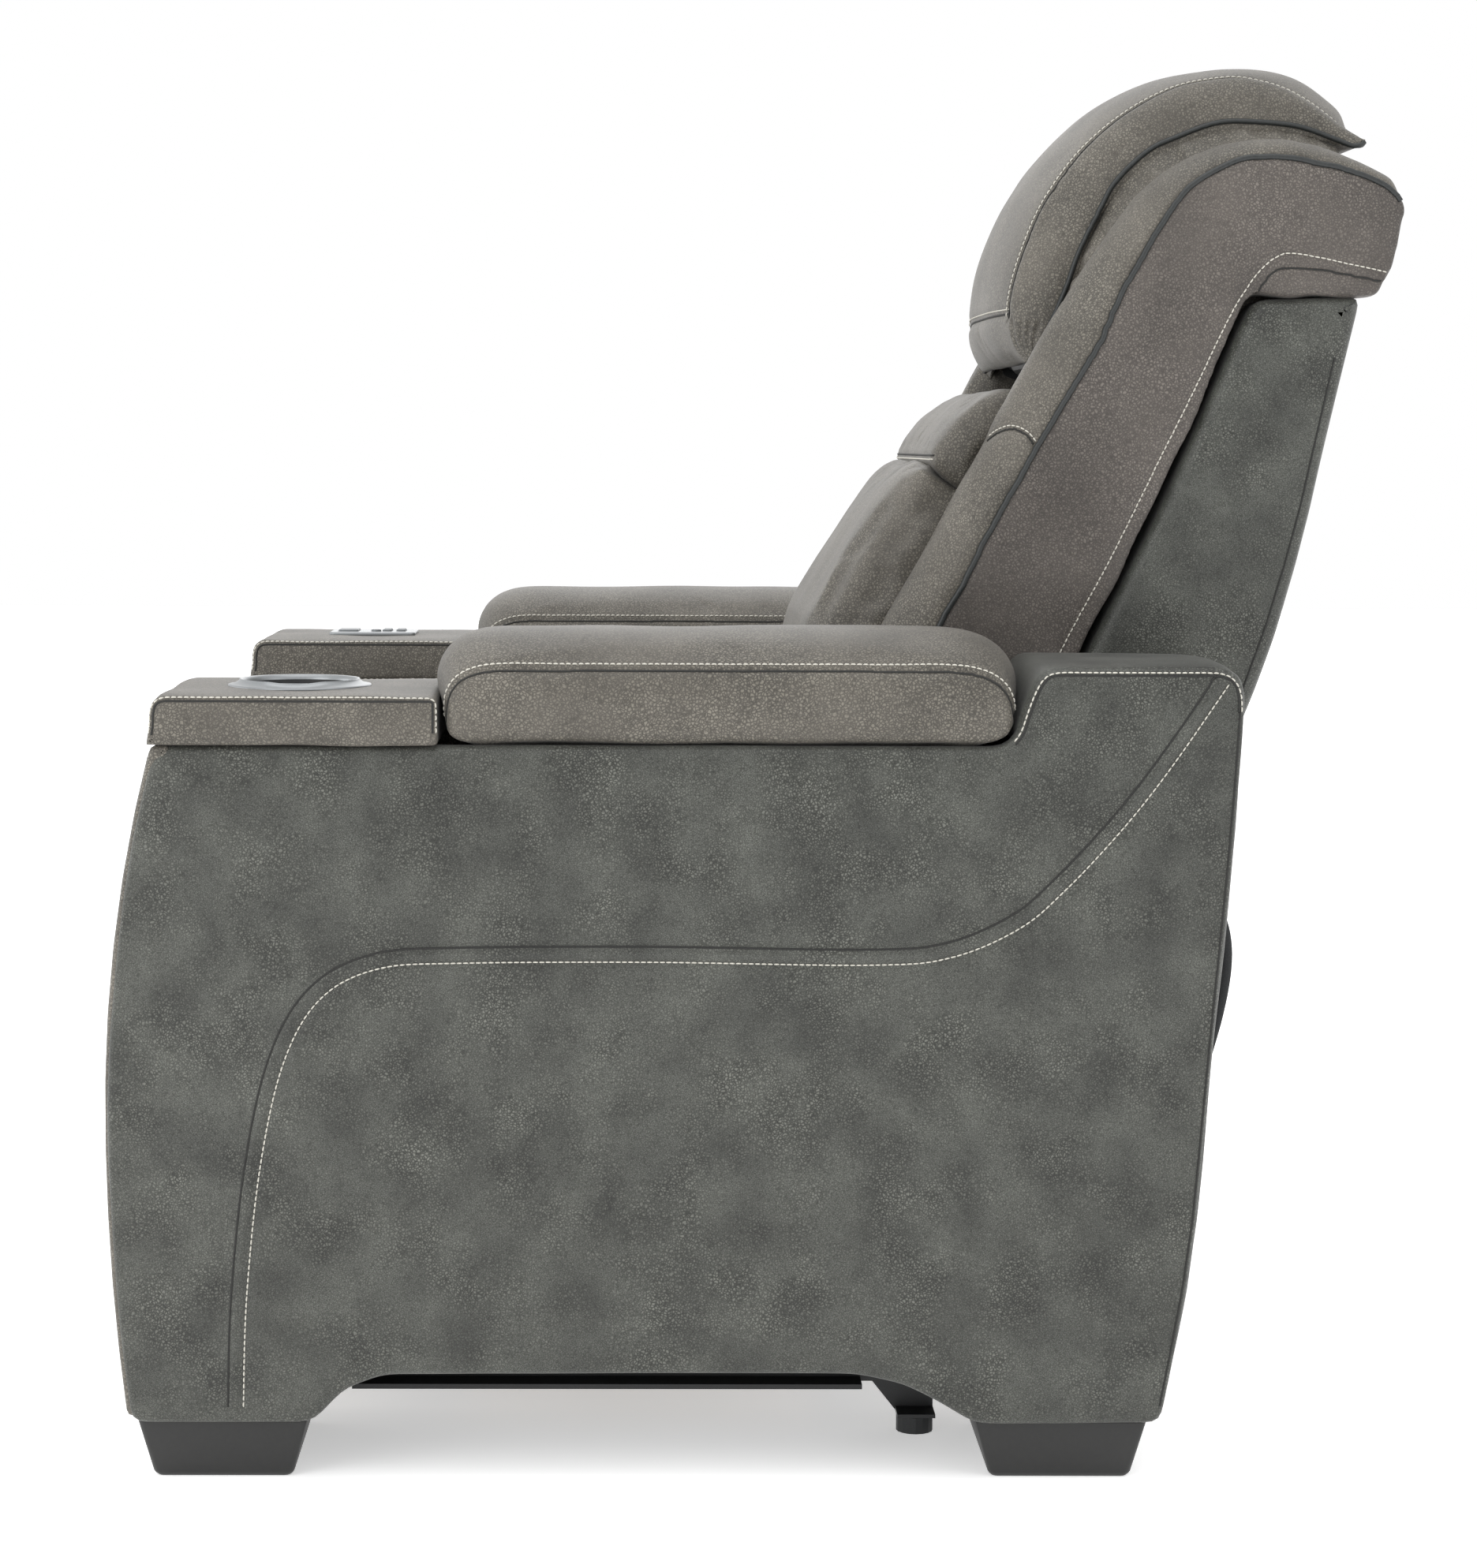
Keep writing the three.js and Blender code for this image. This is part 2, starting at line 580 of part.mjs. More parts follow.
// The rear shell wraps round both sides: a rear skin with two side returns.
function backShell() {
  const whole = extrudeX([...SHELL_REAR, [190, 447], ...SHELL_FRONT], -BACK_HALF, BACK_HALF);
  const insideRear = SHELL_REAR.map(([y, z]) => [y - SHELL_WALL, z]);
  insideRear[0][1] += 20;
  insideRear.at(-1)[1] -= 20;
  const inside = [...insideRear, [100, 427], [100, 500], [340, 953]];
  return cut(whole, extrudeX(inside, -BACK_HALF + SHELL_WALL, BACK_HALF - SHELL_WALL));
}
place(back, 'back_shell', backShell(), DARK);

const WING_FRONT = curve([
  [60, 402], [46, 480], [60, 590], [87, 651], [129, 729], [180, 822], [227, 905], [263, 967], [309, 1026],
  [361, 1060], [420, 1070], [471, 1061], [520, 1036],
], 26);
const SHELL_JOIN = 0.8;

function wingOutline() {
  const seam = SHELL_FRONT.map(([y, z]) => [y - SHELL_JOIN, z]).reverse();
  return [
    ...WING_FRONT, [526.6, 1013], [518, 964], [505, 936], [404, 933], ...seam, [186, 446], [170, 402],
  ];
}
place(back, 'back_wing_left', extrudeSide(1, wingOutline(), WING_INNER_X, BACK_HALF), TAUPE_SIDE);
place(back, 'back_wing_right', extrudeSide(-1, wingOutline(), WING_INNER_X, BACK_HALF), TAUPE_SIDE);

const cushionBack = (z) => frameY(z) - 12;
place(back, 'lumbar_cushion', extrudeX([
  ...curve([[60, 404], [34, 430], [28, 520], [34, 630], [55, 677], [94, 743], [131, 795]], 12),
  [166, 771, 8], [cushionBack(775), 775], [cushionBack(404), 404],
], -CENTRE_HALF, CENTRE_HALF), TAUPE);
place(back, 'shoulder_cushion', extrudeX([
  [134, 798, 4], ...curve([[146, 812], [167, 829], [196, 838]], 3), [cushionBack(838), 838],
  [cushionBack(778), 778], [169, 774, 6],
], -CENTRE_HALF, CENTRE_HALF), TAUPE);
place(back, 'top_roll', extrudeX([
  [292, 906, 10], [289, 955], ...curve([[296, 985], [342, 1030], [411, 1049], [482, 1041], [526, 1013]], 10),
  [518, 964], [505, 937, 4], [462, 937], [440, 912],
], -195, 195), TAUPE);
place(back, 'headrest_motor', box(-40, 40, frameY(900) + 12, frameY(900) + 58, 800, 900), BLACK_PLASTIC);

const FLAP = curve([[366, 441], [381, 412], [386, 382], [382, 345], [371, 300], [350, 234]], 10);
const FLAP_HALF = 262;
const FLAP_THICK = 8;
place(back, 'rear_flap', extrudeX([
  ...FLAP, ...FLAP.map(([y, z]) => [y - FLAP_THICK, z]).reverse(),
], -FLAP_HALF, FLAP_HALF), DARK);

// ---- headrest, tilting forward on the rod at the top of the back frame ----
const headrest = makeBody([0, ...HEADREST_PIVOT]);
const HEADREST_FRONT = curve([
  [214, 866], [201, 885], [198, 920], [207, 984], [235, 1041], [276, 1090], [345, 1132], [413, 1143],
  [476, 1132], [514, 1098], [510, 1068],
], 22);
const HEADREST_UNDER = curve([
  [500, 1058], [450, 1070], [411, 1073], [372, 1070], [330, 1054], [288, 1018], [270, 980], [264, 940], [264, 903],
], 14);
place(headrest, 'headrest_cushion', cut(
  extrudeX([...HEADREST_FRONT, ...HEADREST_UNDER, [240, 866]], -HEADREST_HALF, HEADREST_HALF),
  rod('x', -210, 210, HEADREST_PIVOT, 14),
), TAUPE);

// A pressed plate under the pad, rolled into a barrel round the hinge rod.
const PLATE_HALF = 110;

function headrestFrame() {
  const [y, z] = HEADREST_PIVOT;
  const stop = 195;
  const upper = HEADREST_UNDER.slice(0, 12).map(([a, b]) => [a + 1, b - 2]);
  const lower = upper.map(([a, b]) => [a + 2, b - 2]).reverse();
  const plate = extrudeX([...upper, [y + 15.5, z + 4], [y + 8, z + 2], [y + 8, z - 2], [y + 19, z], ...lower],
    -PLATE_HALF, PLATE_HALF);
  const barrel = rod('x', -PLATE_HALF, PLATE_HALF, HEADREST_PIVOT, 12);
  return cut(join(plate, barrel), rod('x', -stop, stop, HEADREST_PIVOT, PIVOT_PIN + PIN_PLAY));
}
place(headrest, 'headrest_frame', headrestFrame(), BLACK_STEEL);

export default chair;
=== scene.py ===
# %% [markdown]
# # A power recliner in two colours of faux leather
# The CAD model gives the frame: where each piece is, what moves with what, and how big everything is.
# This script dresses it. Each upholstered piece is built as a sewn cover over foam, then seams, stitches and
# piping are laid on its real surface.

# %% Load the frame
import math

import bmesh
import bpy
from mathutils import Matrix, Vector, kdtree, noise
from mathutils.bvhtree import BVHTree
from mathutils.geometry import delaunay_2d_cdt


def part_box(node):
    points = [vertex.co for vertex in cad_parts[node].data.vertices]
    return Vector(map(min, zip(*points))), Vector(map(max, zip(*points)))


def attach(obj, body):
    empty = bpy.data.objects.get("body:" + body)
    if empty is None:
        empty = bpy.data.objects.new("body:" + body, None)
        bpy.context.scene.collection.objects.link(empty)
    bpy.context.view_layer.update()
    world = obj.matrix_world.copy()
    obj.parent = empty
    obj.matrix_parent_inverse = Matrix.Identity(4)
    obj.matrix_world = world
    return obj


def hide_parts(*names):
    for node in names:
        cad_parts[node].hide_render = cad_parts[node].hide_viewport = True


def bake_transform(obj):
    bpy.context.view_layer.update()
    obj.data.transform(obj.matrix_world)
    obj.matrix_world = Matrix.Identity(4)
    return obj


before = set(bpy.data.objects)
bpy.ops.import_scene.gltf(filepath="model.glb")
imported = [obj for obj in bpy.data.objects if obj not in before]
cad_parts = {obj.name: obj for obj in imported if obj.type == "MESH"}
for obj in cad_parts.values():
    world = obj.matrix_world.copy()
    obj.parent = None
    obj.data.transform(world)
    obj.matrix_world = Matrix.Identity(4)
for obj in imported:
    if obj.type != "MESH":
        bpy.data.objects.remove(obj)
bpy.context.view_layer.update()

MM = 0.001

# %% [markdown]
# ## Camera, light and floor
# A long lens, nearly level and shifted down, looks at the chair's left side. Five big soft lamps and a pale
# world give the flat, shadowless light of a catalogue studio. The floor is a plain pale sheet.

# %% Camera
camera_data = bpy.data.cameras.new("camera")
camera = bpy.data.objects.new("camera", camera_data)
bpy.context.scene.collection.objects.link(camera)
bpy.context.scene.camera = camera
camera_data.lens = 80.33
camera_data.shift_x = 0.0553
camera_data.shift_y = -0.1605
camera_data.clip_end = 50
camera.location = (3.186, -0.124, 0.8085)
LOOK_DOWN_DEG = 1.458
TURN_DEG = -0.428
ROLL_DEG = 0.182
aim = Matrix.Rotation(math.radians(90 + TURN_DEG), 3, "Z") @ Matrix.Rotation(math.radians(90 - LOOK_DOWN_DEG), 3, "X")
camera.rotation_euler = (aim @ Matrix.Rotation(math.radians(ROLL_DEG), 3, "Z")).to_euler()
print("camera", [round(v, 2) for v in camera.location])


# %% Lights and floor
def area_light(name, place, aim, size, power, colour=(1, 1, 1)):
    data = bpy.data.lights.new(name, "AREA")
    data.shape = "RECTANGLE"
    data.size, data.size_y = size
    data.energy = power
    data.color = colour
    lamp = bpy.data.objects.new(name, data)
    lamp.location = place
    lamp.rotation_euler = (Vector(aim) - Vector(place)).to_track_quat("-Z", "Y").to_euler()
    bpy.context.scene.collection.objects.link(lamp)


MIDDLE = (0, 0, 0.55)
area_light("overhead", (0.7, -0.3, 3.2), MIDDLE, (3.0, 3.0), 34)
area_light("front_side", (2.6, -2.4, 1.5), MIDDLE, (1.8, 2.2), 30)
area_light("front", (-0.4, -3.4, 1.0), MIDDLE, (2.0, 1.4), 22)
area_light("rear_side", (2.3, 2.7, 1.8), MIDDLE, (1.6, 2.2), 12)
area_light("far_side", (-3.0, 0.2, 1.9), MIDDLE, (2.4, 2.4), 20)

world = bpy.data.worlds.new("studio")
bpy.context.scene.world = world
world.use_nodes = True
world.node_tree.nodes["Background"].inputs["Color"].default_value = (1, 1, 1, 1)
world.node_tree.nodes["Background"].inputs["Strength"].default_value = 1.0
bpy.context.scene.view_settings.view_transform = "Standard"

floor_data = bpy.data.meshes.new("floor")
reach = 14
floor_data.from_pydata(
    [(-reach, -reach, 0), (reach, -reach, 0), (reach, reach, 0), (-reach, reach, 0)], [], [(0, 1, 2, 3)])
floor = bpy.data.objects.new("floor", floor_data)
floor.location.z = -0.0005
bpy.context.scene.collection.objects.link(floor)

# %% [markdown]
# ## Building shaders
# Colours are given as sRGB hex values and turned to linear once. One small function adds a node, sets it and
# links it. Patterns are placed by object coordinates in metres, so a grain of 3 mm is a scale of 1 / 0.003.


# %% Shader helpers
def linear(hex_colour):
    channels = [int(hex_colour[i:i + 2], 16) / 255 for i in (1, 3, 5)]
    return [c / 12.92 if c <= 0.04045 else ((c + 0.055) / 1.055) ** 2.4 for c in channels] + [1.0]


def add(material, kind, links=None, **settings):
    """Adds a node: settings are its properties or input values, links are input: output pairs."""
    node = material.node_tree.nodes.new(kind)
    for key, value in settings.items():
        if hasattr(node, key):
            setattr(node, key, value)
        else:
            node.inputs[key.replace("_", " ")].default_value = value
    for key, output in (links or {}).items():
        material.node_tree.links.new(node.inputs[key], output)
    return node


def new_material(name, base_hex, roughness, metallic=0.0):
    material = bpy.data.materials.new(name)
    material.use_nodes = True
    shader = material.node_tree.nodes["Principled BSDF"]
    shader.inputs["Base Color"].default_value = linear(base_hex)
    shader.inputs["Roughness"].default_value = roughness
    shader.inputs["Metallic"].default_value = metallic
    return material, shader


def ramp_colours(node, stops):
    """Sets a colour ramp's stops: position and hex colour."""
    elements = node.color_ramp.elements
    while len(elements) < len(stops):
        elements.new(0.5)
    for element, (position, hex_colour) in zip(elements, stops):
        element.position = position
        element.color = linear(hex_colour)


# %% [markdown]
# ## Faux leather
# Polyurethane on a knitted cloth, pressed with a pebble grain and printed in two tones: the tops of the
# pebbles are paler and the valleys darker, and the tone drifts over a hand's width. Pebbles are cells of a
# Voronoi pattern, bent a little by noise. Real pebbles are 2 to 3 mm; they are drawn at the upper end of
# that so that they still show from three metres away.


# %% Faux leather
def faux_leather(name, ground, body, dot, patch, pebble_mm, mottle_mm, roughness, patchiness=0.5, relief_mm=0.3):
    """Printed faux leather: coarse light pebbles on a dark ground, rubbed into smoother, paler patches."""
    material, shader = new_material(name, body, roughness)
    links = material.node_tree.links
    place = add(material, "ShaderNodeTexCoord").outputs["Object"]
    bend = add(material, "ShaderNodeTexNoise", {"Vector": place}, Scale=1 / (2.2 * pebble_mm * MM), Detail=2.0)
    bent = add(material, "ShaderNodeMixRGB", {"Color1": place, "Color2": bend.outputs["Color"]},
               blend_type="LINEAR_LIGHT", Fac=0.8 * pebble_mm * MM)
    coarse, fine = [add(material, "ShaderNodeTexVoronoi", {"Vector": bent.outputs["Color"]},
                        feature="DISTANCE_TO_EDGE", Scale=1 / (size * MM)).outputs["Distance"]
                    for size in (pebble_mm, 0.62 * pebble_mm)]
    mottle = add(material, "ShaderNodeTexNoise", {"Vector": place}, Scale=1 / (mottle_mm * MM), Detail=6.0,
                 Roughness=0.66)
    worn = add(material, "ShaderNodeMapRange", {"Value": mottle.outputs["Fac"]})
    worn.inputs["From Min"].default_value = 0.40
    worn.inputs["From Max"].default_value = 0.62

    pebbled = add(material, "ShaderNodeValToRGB", {"Fac": coarse})
    ramp_colours(pebbled, [(0.03, ground), (0.16, body), (0.34, dot)])
    rubbed = add(material, "ShaderNodeValToRGB", {"Fac": fine})
    ramp_colours(rubbed, [(0.0, ground), (0.10, body), (0.26, patch)])
    share = add(material, "ShaderNodeMath", {0: worn.outputs["Result"]}, operation="MULTIPLY")
    share.inputs[1].default_value = patchiness
    mixed = add(material, "ShaderNodeMixRGB", {"Fac": share.outputs[0], "Color1": pebbled.outputs["Color"],
                                               "Color2": rubbed.outputs["Color"]})
    shade = add(material, "ShaderNodeTexNoise", {"Vector": place}, Scale=1 / (0.7 * mottle_mm * MM), Detail=4.0)
    deeper = add(material, "ShaderNodeMapRange", {"Value": shade.outputs["Fac"]})
    deeper.inputs["From Min"].default_value = 0.30
    deeper.inputs["From Max"].default_value = 0.70
    drifted = add(material, "ShaderNodeMixRGB", {"Color1": mixed.outputs["Color"], "Color2": deeper.outputs["Result"]},
                  blend_type="SOFT_LIGHT", Fac=0.28 * patchiness + 0.12)
    links.new(shader.inputs["Base Color"], drifted.outputs["Color"])

    height = add(material, "ShaderNodeMix", {"Factor": share.outputs[0], "A": coarse, "B": fine})
    bump = add(material, "ShaderNodeBump", {"Height": height.outputs["Result"]}, Strength=0.7,
               Distance=relief_mm * 2 * MM)
    links.new(shader.inputs["Normal"], bump.outputs["Normal"])
    shader.inputs["Specular IOR Level"].default_value = 0.40
    shader.inputs["Sheen Weight"].default_value = 0.08
    shader.inputs["Sheen Roughness"].default_value = 0.5
    return material


taupe = faux_leather("faux_leather_taupe", "#3e3b35", "#5b5750", "#736f65", "#655f57", 2.5, 90, 0.56, 0.45)
mauve = faux_leather("faux_leather_side_brown", "#3d3835", "#534e49", "#6a645e", "#5d5751", 2.5, 110, 0.56, 0.45)
dark = faux_leather("faux_leather_dark_grey", "#22231f", "#3f403b", "#5e5f59", "#545651", 2.2, 62, 0.45, 0.95)
print("leathers", [m.name for m in (taupe, mauve, dark)])

# %% [markdown]
# ## Thread, piping, steel, plastic and wood
# The small finishes. Thread is twisted polyester, so it gets fine slanted ridges. Piping is a cord wrapped in
# smooth charcoal vinyl. Steel is black powder coat, with the slight orange peel that powder leaves. The cup
# holder is vacuum-painted ABS: metallic, but softer than plate.


# %% Small finishes
def fine_finish(name, base, shade, roughness, grain_mm, metallic=0.0, relief_mm=0.05, stretch=(1, 1, 1)):
    material, shader = new_material(name, base, roughness, metallic)
    links = material.node_tree.links
    place = add(material, "ShaderNodeTexCoord").outputs["Object"]
    scaled = add(material, "ShaderNodeMapping", {"Vector": place})
    scaled.inputs["Scale"].default_value = stretch
    grain = add(material, "ShaderNodeTexNoise", {"Vector": scaled.outputs["Vector"]},
                Scale=1 / (grain_mm * MM), Detail=4.0)
    tone = add(material, "ShaderNodeValToRGB", {"Fac": grain.outputs["Fac"]})
    ramp_colours(tone, [(0.35, shade), (0.65, base)])
    links.new(shader.inputs["Base Color"], tone.outputs["Color"])
    rough = add(material, "ShaderNodeMapRange", {"Value": grain.outputs["Fac"]})
    rough.inputs["To Min"].default_value = roughness - 0.06
    rough.inputs["To Max"].default_value = roughness + 0.08
    links.new(shader.inputs["Roughness"], rough.outputs["Result"])
    bump = add(material, "ShaderNodeBump", {"Height": grain.outputs["Fac"]}, Strength=0.4,
               Distance=relief_mm * MM)
    links.new(shader.inputs["Normal"], bump.outputs["Normal"])
    return material


thread = fine_finish("polyester_thread_cream", "#cfccc2", "#b0ada3", 0.6, 0.6, relief_mm=0.1)
# The seam tube colour is painted shade: a near-black tube stands in for the shadow in a seam's gap.
painted_seam_shade = fine_finish("painted_seam_shadow", "#2a2a28", "#1b1b1a", 0.8, 1.0)
piping_vinyl = fine_finish("vinyl_piping_charcoal", "#272a2a", "#1c1f1f", 0.42, 2.0, relief_mm=0.1)
powder_coat = fine_finish("powder_coated_steel_black", "#262728", "#1b1c1d", 0.42, 0.8, relief_mm=0.08)
bare_steel = fine_finish("ground_steel_rod", "#a8abad", "#8d9092", 0.28, 0.5, 0.95, stretch=(1, 0.1, 1))
silver_abs = fine_finish("metallic_painted_abs", "#96999b", "#888b8d", 0.33, 0.35, 0.6, relief_mm=0.01)
button_abs = fine_finish("satin_abs_button", "#7b7e80", "#6e7173", 0.38, 0.4, 0.35, relief_mm=0.02)
# This black plastic is also laid inside the cup holder as painted shade.
black_abs_and_cup_shade = fine_finish("moulded_abs_black_and_cup_shade", "#242628", "#1a1c1d", 0.5, 0.9)
foot_lacquer = fine_finish("lacquered_beech_near_black", "#191918", "#131312", 0.45, 4.0, stretch=(0.15, 1, 1))
plywood = fine_finish("birch_plywood", "#c7a777", "#a98656", 0.7, 5.0, relief_mm=0.15, stretch=(0.12, 1, 1))
lining = fine_finish("black_cambric_lining", "#303132", "#1f2021", 0.9, 0.9, relief_mm=0.15)
floor_paint = fine_finish("studio_floor_white", "#ffffff", "#fdfdfd", 0.85, 600.0, relief_mm=0.01)
floor_shader = floor_paint.node_tree.nodes["Principled BSDF"]
floor_shader.inputs["Emission Color"].default_value = (1, 1, 1, 1)
floor_shader.inputs["Emission Strength"].default_value = 0.45
floor_data.materials.append(floor_paint)

# %% [markdown]
# ## Outlines and lofted covers
# Most covers on this chair are a side shape given width: the arm panels, the pads, the cushions, the wings.
# So one builder lofts a closed outline in the YZ plane through a row of X stations, turns it in at both ends
# to round the edges, and closes each end with a fine triangulated face that can be crowned. The outlines are
# read from the CAD nodes, so a cover always sits on its own piece.


# %% Outline helpers
def spline(points, count, closed=False):
    """Evenly spaced points along a smooth curve through the given 2D or 3D ones."""
    p = [Vector(q) for q in points]
    n = len(p)
    dense = []
    last = n if closed else n - 1
    for i in range(last):
        a, b, c, d = (p[(i + k) % n] if closed else p[min(max(i + k, 0), n - 1)] for k in (-1, 0, 1, 2))
        for k in range(12):
            t = k / 12
            dense.append(0.5 * (2 * b + (c - a) * t + (2 * a - 5 * b + 4 * c - d) * t * t
                                + (3 * b - a - 3 * c + d) * t * t * t))
    dense.append(p[0] if closed else p[-1])
    return even(dense, count)


def even(points, count):
    """The same path as count + 1 evenly spaced points."""
    lengths = [0.0]
    for a, b in zip(points, points[1:]):
        lengths.append(lengths[-1] + (b - a).length)
    result, k = [], 0
    for i in range(count + 1):
        s = lengths[-1] * i / count
        while k < len(points) - 2 and lengths[k + 1] < s:
            k += 1
        span = lengths[k + 1] - lengths[k]
        result.append(points[k].lerp(points[k + 1], (s - lengths[k]) / span if span else 0.0))
    return result


def path_length(points):
    return sum((b - a).length for a, b in zip(points, points[1:]))


def node_outline(node):
    """The closed [y, z] outline of an extruded CAD node's side, anticlockwise seen from +X."""
    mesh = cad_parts[node].data
    side = max(v.co.x for v in mesh.vertices)
    weld = {}
    for v in mesh.vertices:
        weld.setdefault(tuple(round(c, 5) for c in v.co), len(weld))
    index = [weld[tuple(round(c, 5) for c in v.co)] for v in mesh.vertices]
    place = {index[v.index]: Vector((v.co.y, v.co.z)) for v in mesh.vertices}
    edges = {}
    for face in mesh.polygons:
        if face.normal.x > 0.9 and all(mesh.vertices[v].co.x > side - 1e-5 for v in face.vertices):
            corners = [index[v] for v in face.vertices]
            for a, b in zip(corners, corners[1:] + corners[:1]):
                if (b, a) in edges:
                    del edges[(b, a)]
                else:
                    edges[(a, b)] = True
    loops = []
    ahead = {a: b for a, b in edges}
    while ahead:
        start, loop = next(iter(ahead)), []
        at = start
        while at in ahead:
            loop.append(place[at])
            at = ahead.pop(at)
        loops.append(loop)
    return max(loops, key=lambda loop: path_length(loop + loop[:1]))


def even_ring(outline, step, soften=0):
    """A closed outline as evenly spaced points, with its corners softened."""
    loop = outline + [outline[0]]
    ring = even(loop, max(12, round(path_length(loop) / step)))[:-1]
    for _ in range(soften):
        ring = [(a + 2 * b + c) / 4 for a, b, c in zip(ring[-1:] + ring[:-1], ring, ring[1:] + ring[:1])]
    return ring


def ring_normals(ring):
    """Outward unit normals of an anticlockwise ring."""
    result = []
    for a, c in zip(ring[-1:] + ring[:-1], ring[1:] + ring[:1]):
        along = (c - a).normalized()
        result.append(Vector((along.y, -along.x)))
    return result


# %% Loft builder
def end_face(ring, spacing, extra=()):
    """Fills a ring with even triangles: returns inner points and triangles over ring + inner."""
    tree = kdtree.KDTree(len(ring) + len(extra))
    for i, p in enumerate(list(ring) + list(extra)):
        tree.insert((p.x, p.y, 0), i)
    tree.balance()
    low = Vector((min(p.x for p in ring), min(p.y for p in ring)))
    high = Vector((max(p.x for p in ring), max(p.y for p in ring)))
    inner = list(extra)
    row, y = 0, low.y
    while y < high.y:
        x = low.x + (row % 2) * spacing / 2
        while x < high.x:
            if tree.find((x, y, 0))[2] > 0.62 * spacing:
                inner.append(Vector((x, y)))
            x += spacing
        y += spacing * 0.866
        row += 1
    points = list(ring) + inner
    count = len(ring)
    edges = [(i, (i + 1) % count) for i in range(count)]
    out, _, faces, origin, _, _ = delaunay_2d_cdt(points, edges, [], 1, 1e-7)
    name = [source[0] if source else -1 for source in origin]
    used = [tuple(name[i] for i in face) for face in faces]
    return inner, [face for face in used if min(face) >= 0]


def loft(name, stations, material, spacing=0.010, crown=(0.0, 0.0), crown_reach=0.04, extra=((), ())):
    """A closed cover through stations [(x, ring), ...] in rising x, with crowned end faces."""
    count = len(stations[0][1])
    verts, faces = [], []
    for x, ring in stations:
        verts += [(x, p.x, p.y) for p in ring]
    for s in range(len(stations) - 1):
        for i in range(count):
            a, b = s * count + i, s * count + (i + 1) % count
            faces.append((a, b, b + count, a + count))
    for end, (x, ring) in enumerate((stations[0], stations[-1])):
        inner, triangles = end_face(ring, spacing, extra[end])
        tree = kdtree.KDTree(count)
        for i, p in enumerate(ring):
            tree.insert((p.x, p.y, 0), i)
        tree.balance()
        first = len(verts)
        sign = -1 if end == 0 else 1
        for p in inner:
            away = tree.find((p.x, p.y, 0))[2]
            rise = crown[end] * (1 - math.exp(-(away / crown_reach) ** 1.5))
            verts.append((x + sign * rise, p.x, p.y))
        ring_first = 0 if end == 0 else (len(stations) - 1) * count
        for face in triangles:
            corners = [i + ring_first if i < count else i - count + first for i in face]
            faces.append(tuple(corners) if end else tuple(reversed(corners)))
    mesh = bpy.data.meshes.new(name)
    mesh.from_pydata(verts, [], faces)
    mesh.materials.append(material)
    mesh.polygons.foreach_set("use_smooth", [True] * len(mesh.polygons))
    mesh.update()
    piece = bpy.data.objects.new(name, mesh)
    bpy.context.scene.collection.objects.link(piece)
    facing_out(piece)
    return piece


def facing_out(piece):
    """Turns every face outwards."""
    work = bmesh.new()
    work.from_mesh(piece.data)
    bmesh.ops.recalc_face_normals(work, faces=work.faces)
    work.to_mesh(piece.data)
    work.free()


def rounded_stations(ring, x0, x1, edge, bulge=lambda t, p, n: 0.0, middle=12, edge_steps=5):
    """Stations from x0 to x1 whose ends turn in over an edge radius."""
    normals = ring_normals(ring)
    levels = []
    for k in range(edge_steps + 1):
        a = math.pi / 2 * k / edge_steps
        levels.append((x0 + edge * (1 - math.cos(a)), edge * (1 - math.sin(a))))
    inner = [(x0 + edge + (x1 - x0 - 2 * edge) * k / middle, 0.0) for k in range(1, middle)]
    far = [(x0 + x1 - x, inset) for x, inset in reversed(levels)]
    stations = []
    for x, inset in levels + inner + far:
        t = (2 * x - x0 - x1) / (x1 - x0)
        stations.append((x, [p - n * (inset - bulge(t, p, n)) for p, n in zip(ring, normals)]))
    return stations


# %% [markdown]
# ## Filling the covers
# Foam pushes a sewn cover out between its seams. Each soft piece is remeshed evenly, blown up a little by
# cloth simulation with inner pressure, and held to a cap so that it stays in the space its CAD solid holds.
# Seams are pressed in afterwards, because a remesh would wipe them out.


# %% Filling
def pick(piece):
    bpy.ops.object.select_all(action="DESELECT")
    piece.select_set(True)
    bpy.context.view_layer.objects.active = piece


def apply_modifier(piece, modifier):
    pick(piece)
    bpy.ops.object.modifier_apply(modifier=modifier.name)


def remesh(piece, voxel):
    modifier = piece.modifiers.new("even", "REMESH")
    modifier.mode = "VOXEL"
    modifier.voxel_size = voxel
    modifier.use_smooth_shade = True
    apply_modifier(piece, modifier)


def inflate(piece, cap, pressure=4.0, frames=20, subdivide=False):
    """Blows a cover up by cloth simulation; no point moves further than cap."""
    before = [v.co.copy() for v in piece.data.vertices]
    cloth = piece.modifiers.new("fill", "CLOTH")
    cloth.settings.use_pressure = True
    cloth.settings.uniform_pressure_force = pressure
    cloth.settings.effector_weights.gravity = 0
    cloth.settings.quality = 4
    cloth.settings.tension_stiffness = 40
    cloth.settings.bending_stiffness = 2
    scene = bpy.context.scene
    for f in range(1, frames + 1):
        scene.frame_set(f)
    apply_modifier(piece, cloth)
    scene.frame_set(1)
    for v, old in zip(piece.data.vertices, before):
        move = v.co - old
        if move.length > cap:
            v.co = old + move * (cap / move.length)
    if subdivide:
        finer = piece.modifiers.new("finer", "SUBSURF")
        finer.levels = finer.render_levels = 1
        apply_modifier(piece, finer)
    piece.data.polygons.foreach_set("use_smooth", [True] * len(piece.data.polygons))
    furthest = max((v.co - old).length for v, old in zip(piece.data.vertices, before))
    print(piece.name, len(piece.data.vertices), "points, filled by up to", round(furthest * 1000), "mm")


def crumple(piece, height, size, seed=0, where=lambda co: 1.0, stretch=(1, 1, 1)):
    """Moves the surface by soft noise, as slack leather lies over foam."""
    mesh = piece.data
    normals = [v.normal.copy() for v in mesh.vertices]
    for v, n in zip(mesh.vertices, normals):
        amount = where(v.co)
        if amount > 0:
            at = Vector([c * s for c, s in zip(v.co, stretch)]) / size + Vector((seed, 0, 0))
            v.co += n * height * amount * noise.noise(at)
    mesh.update()


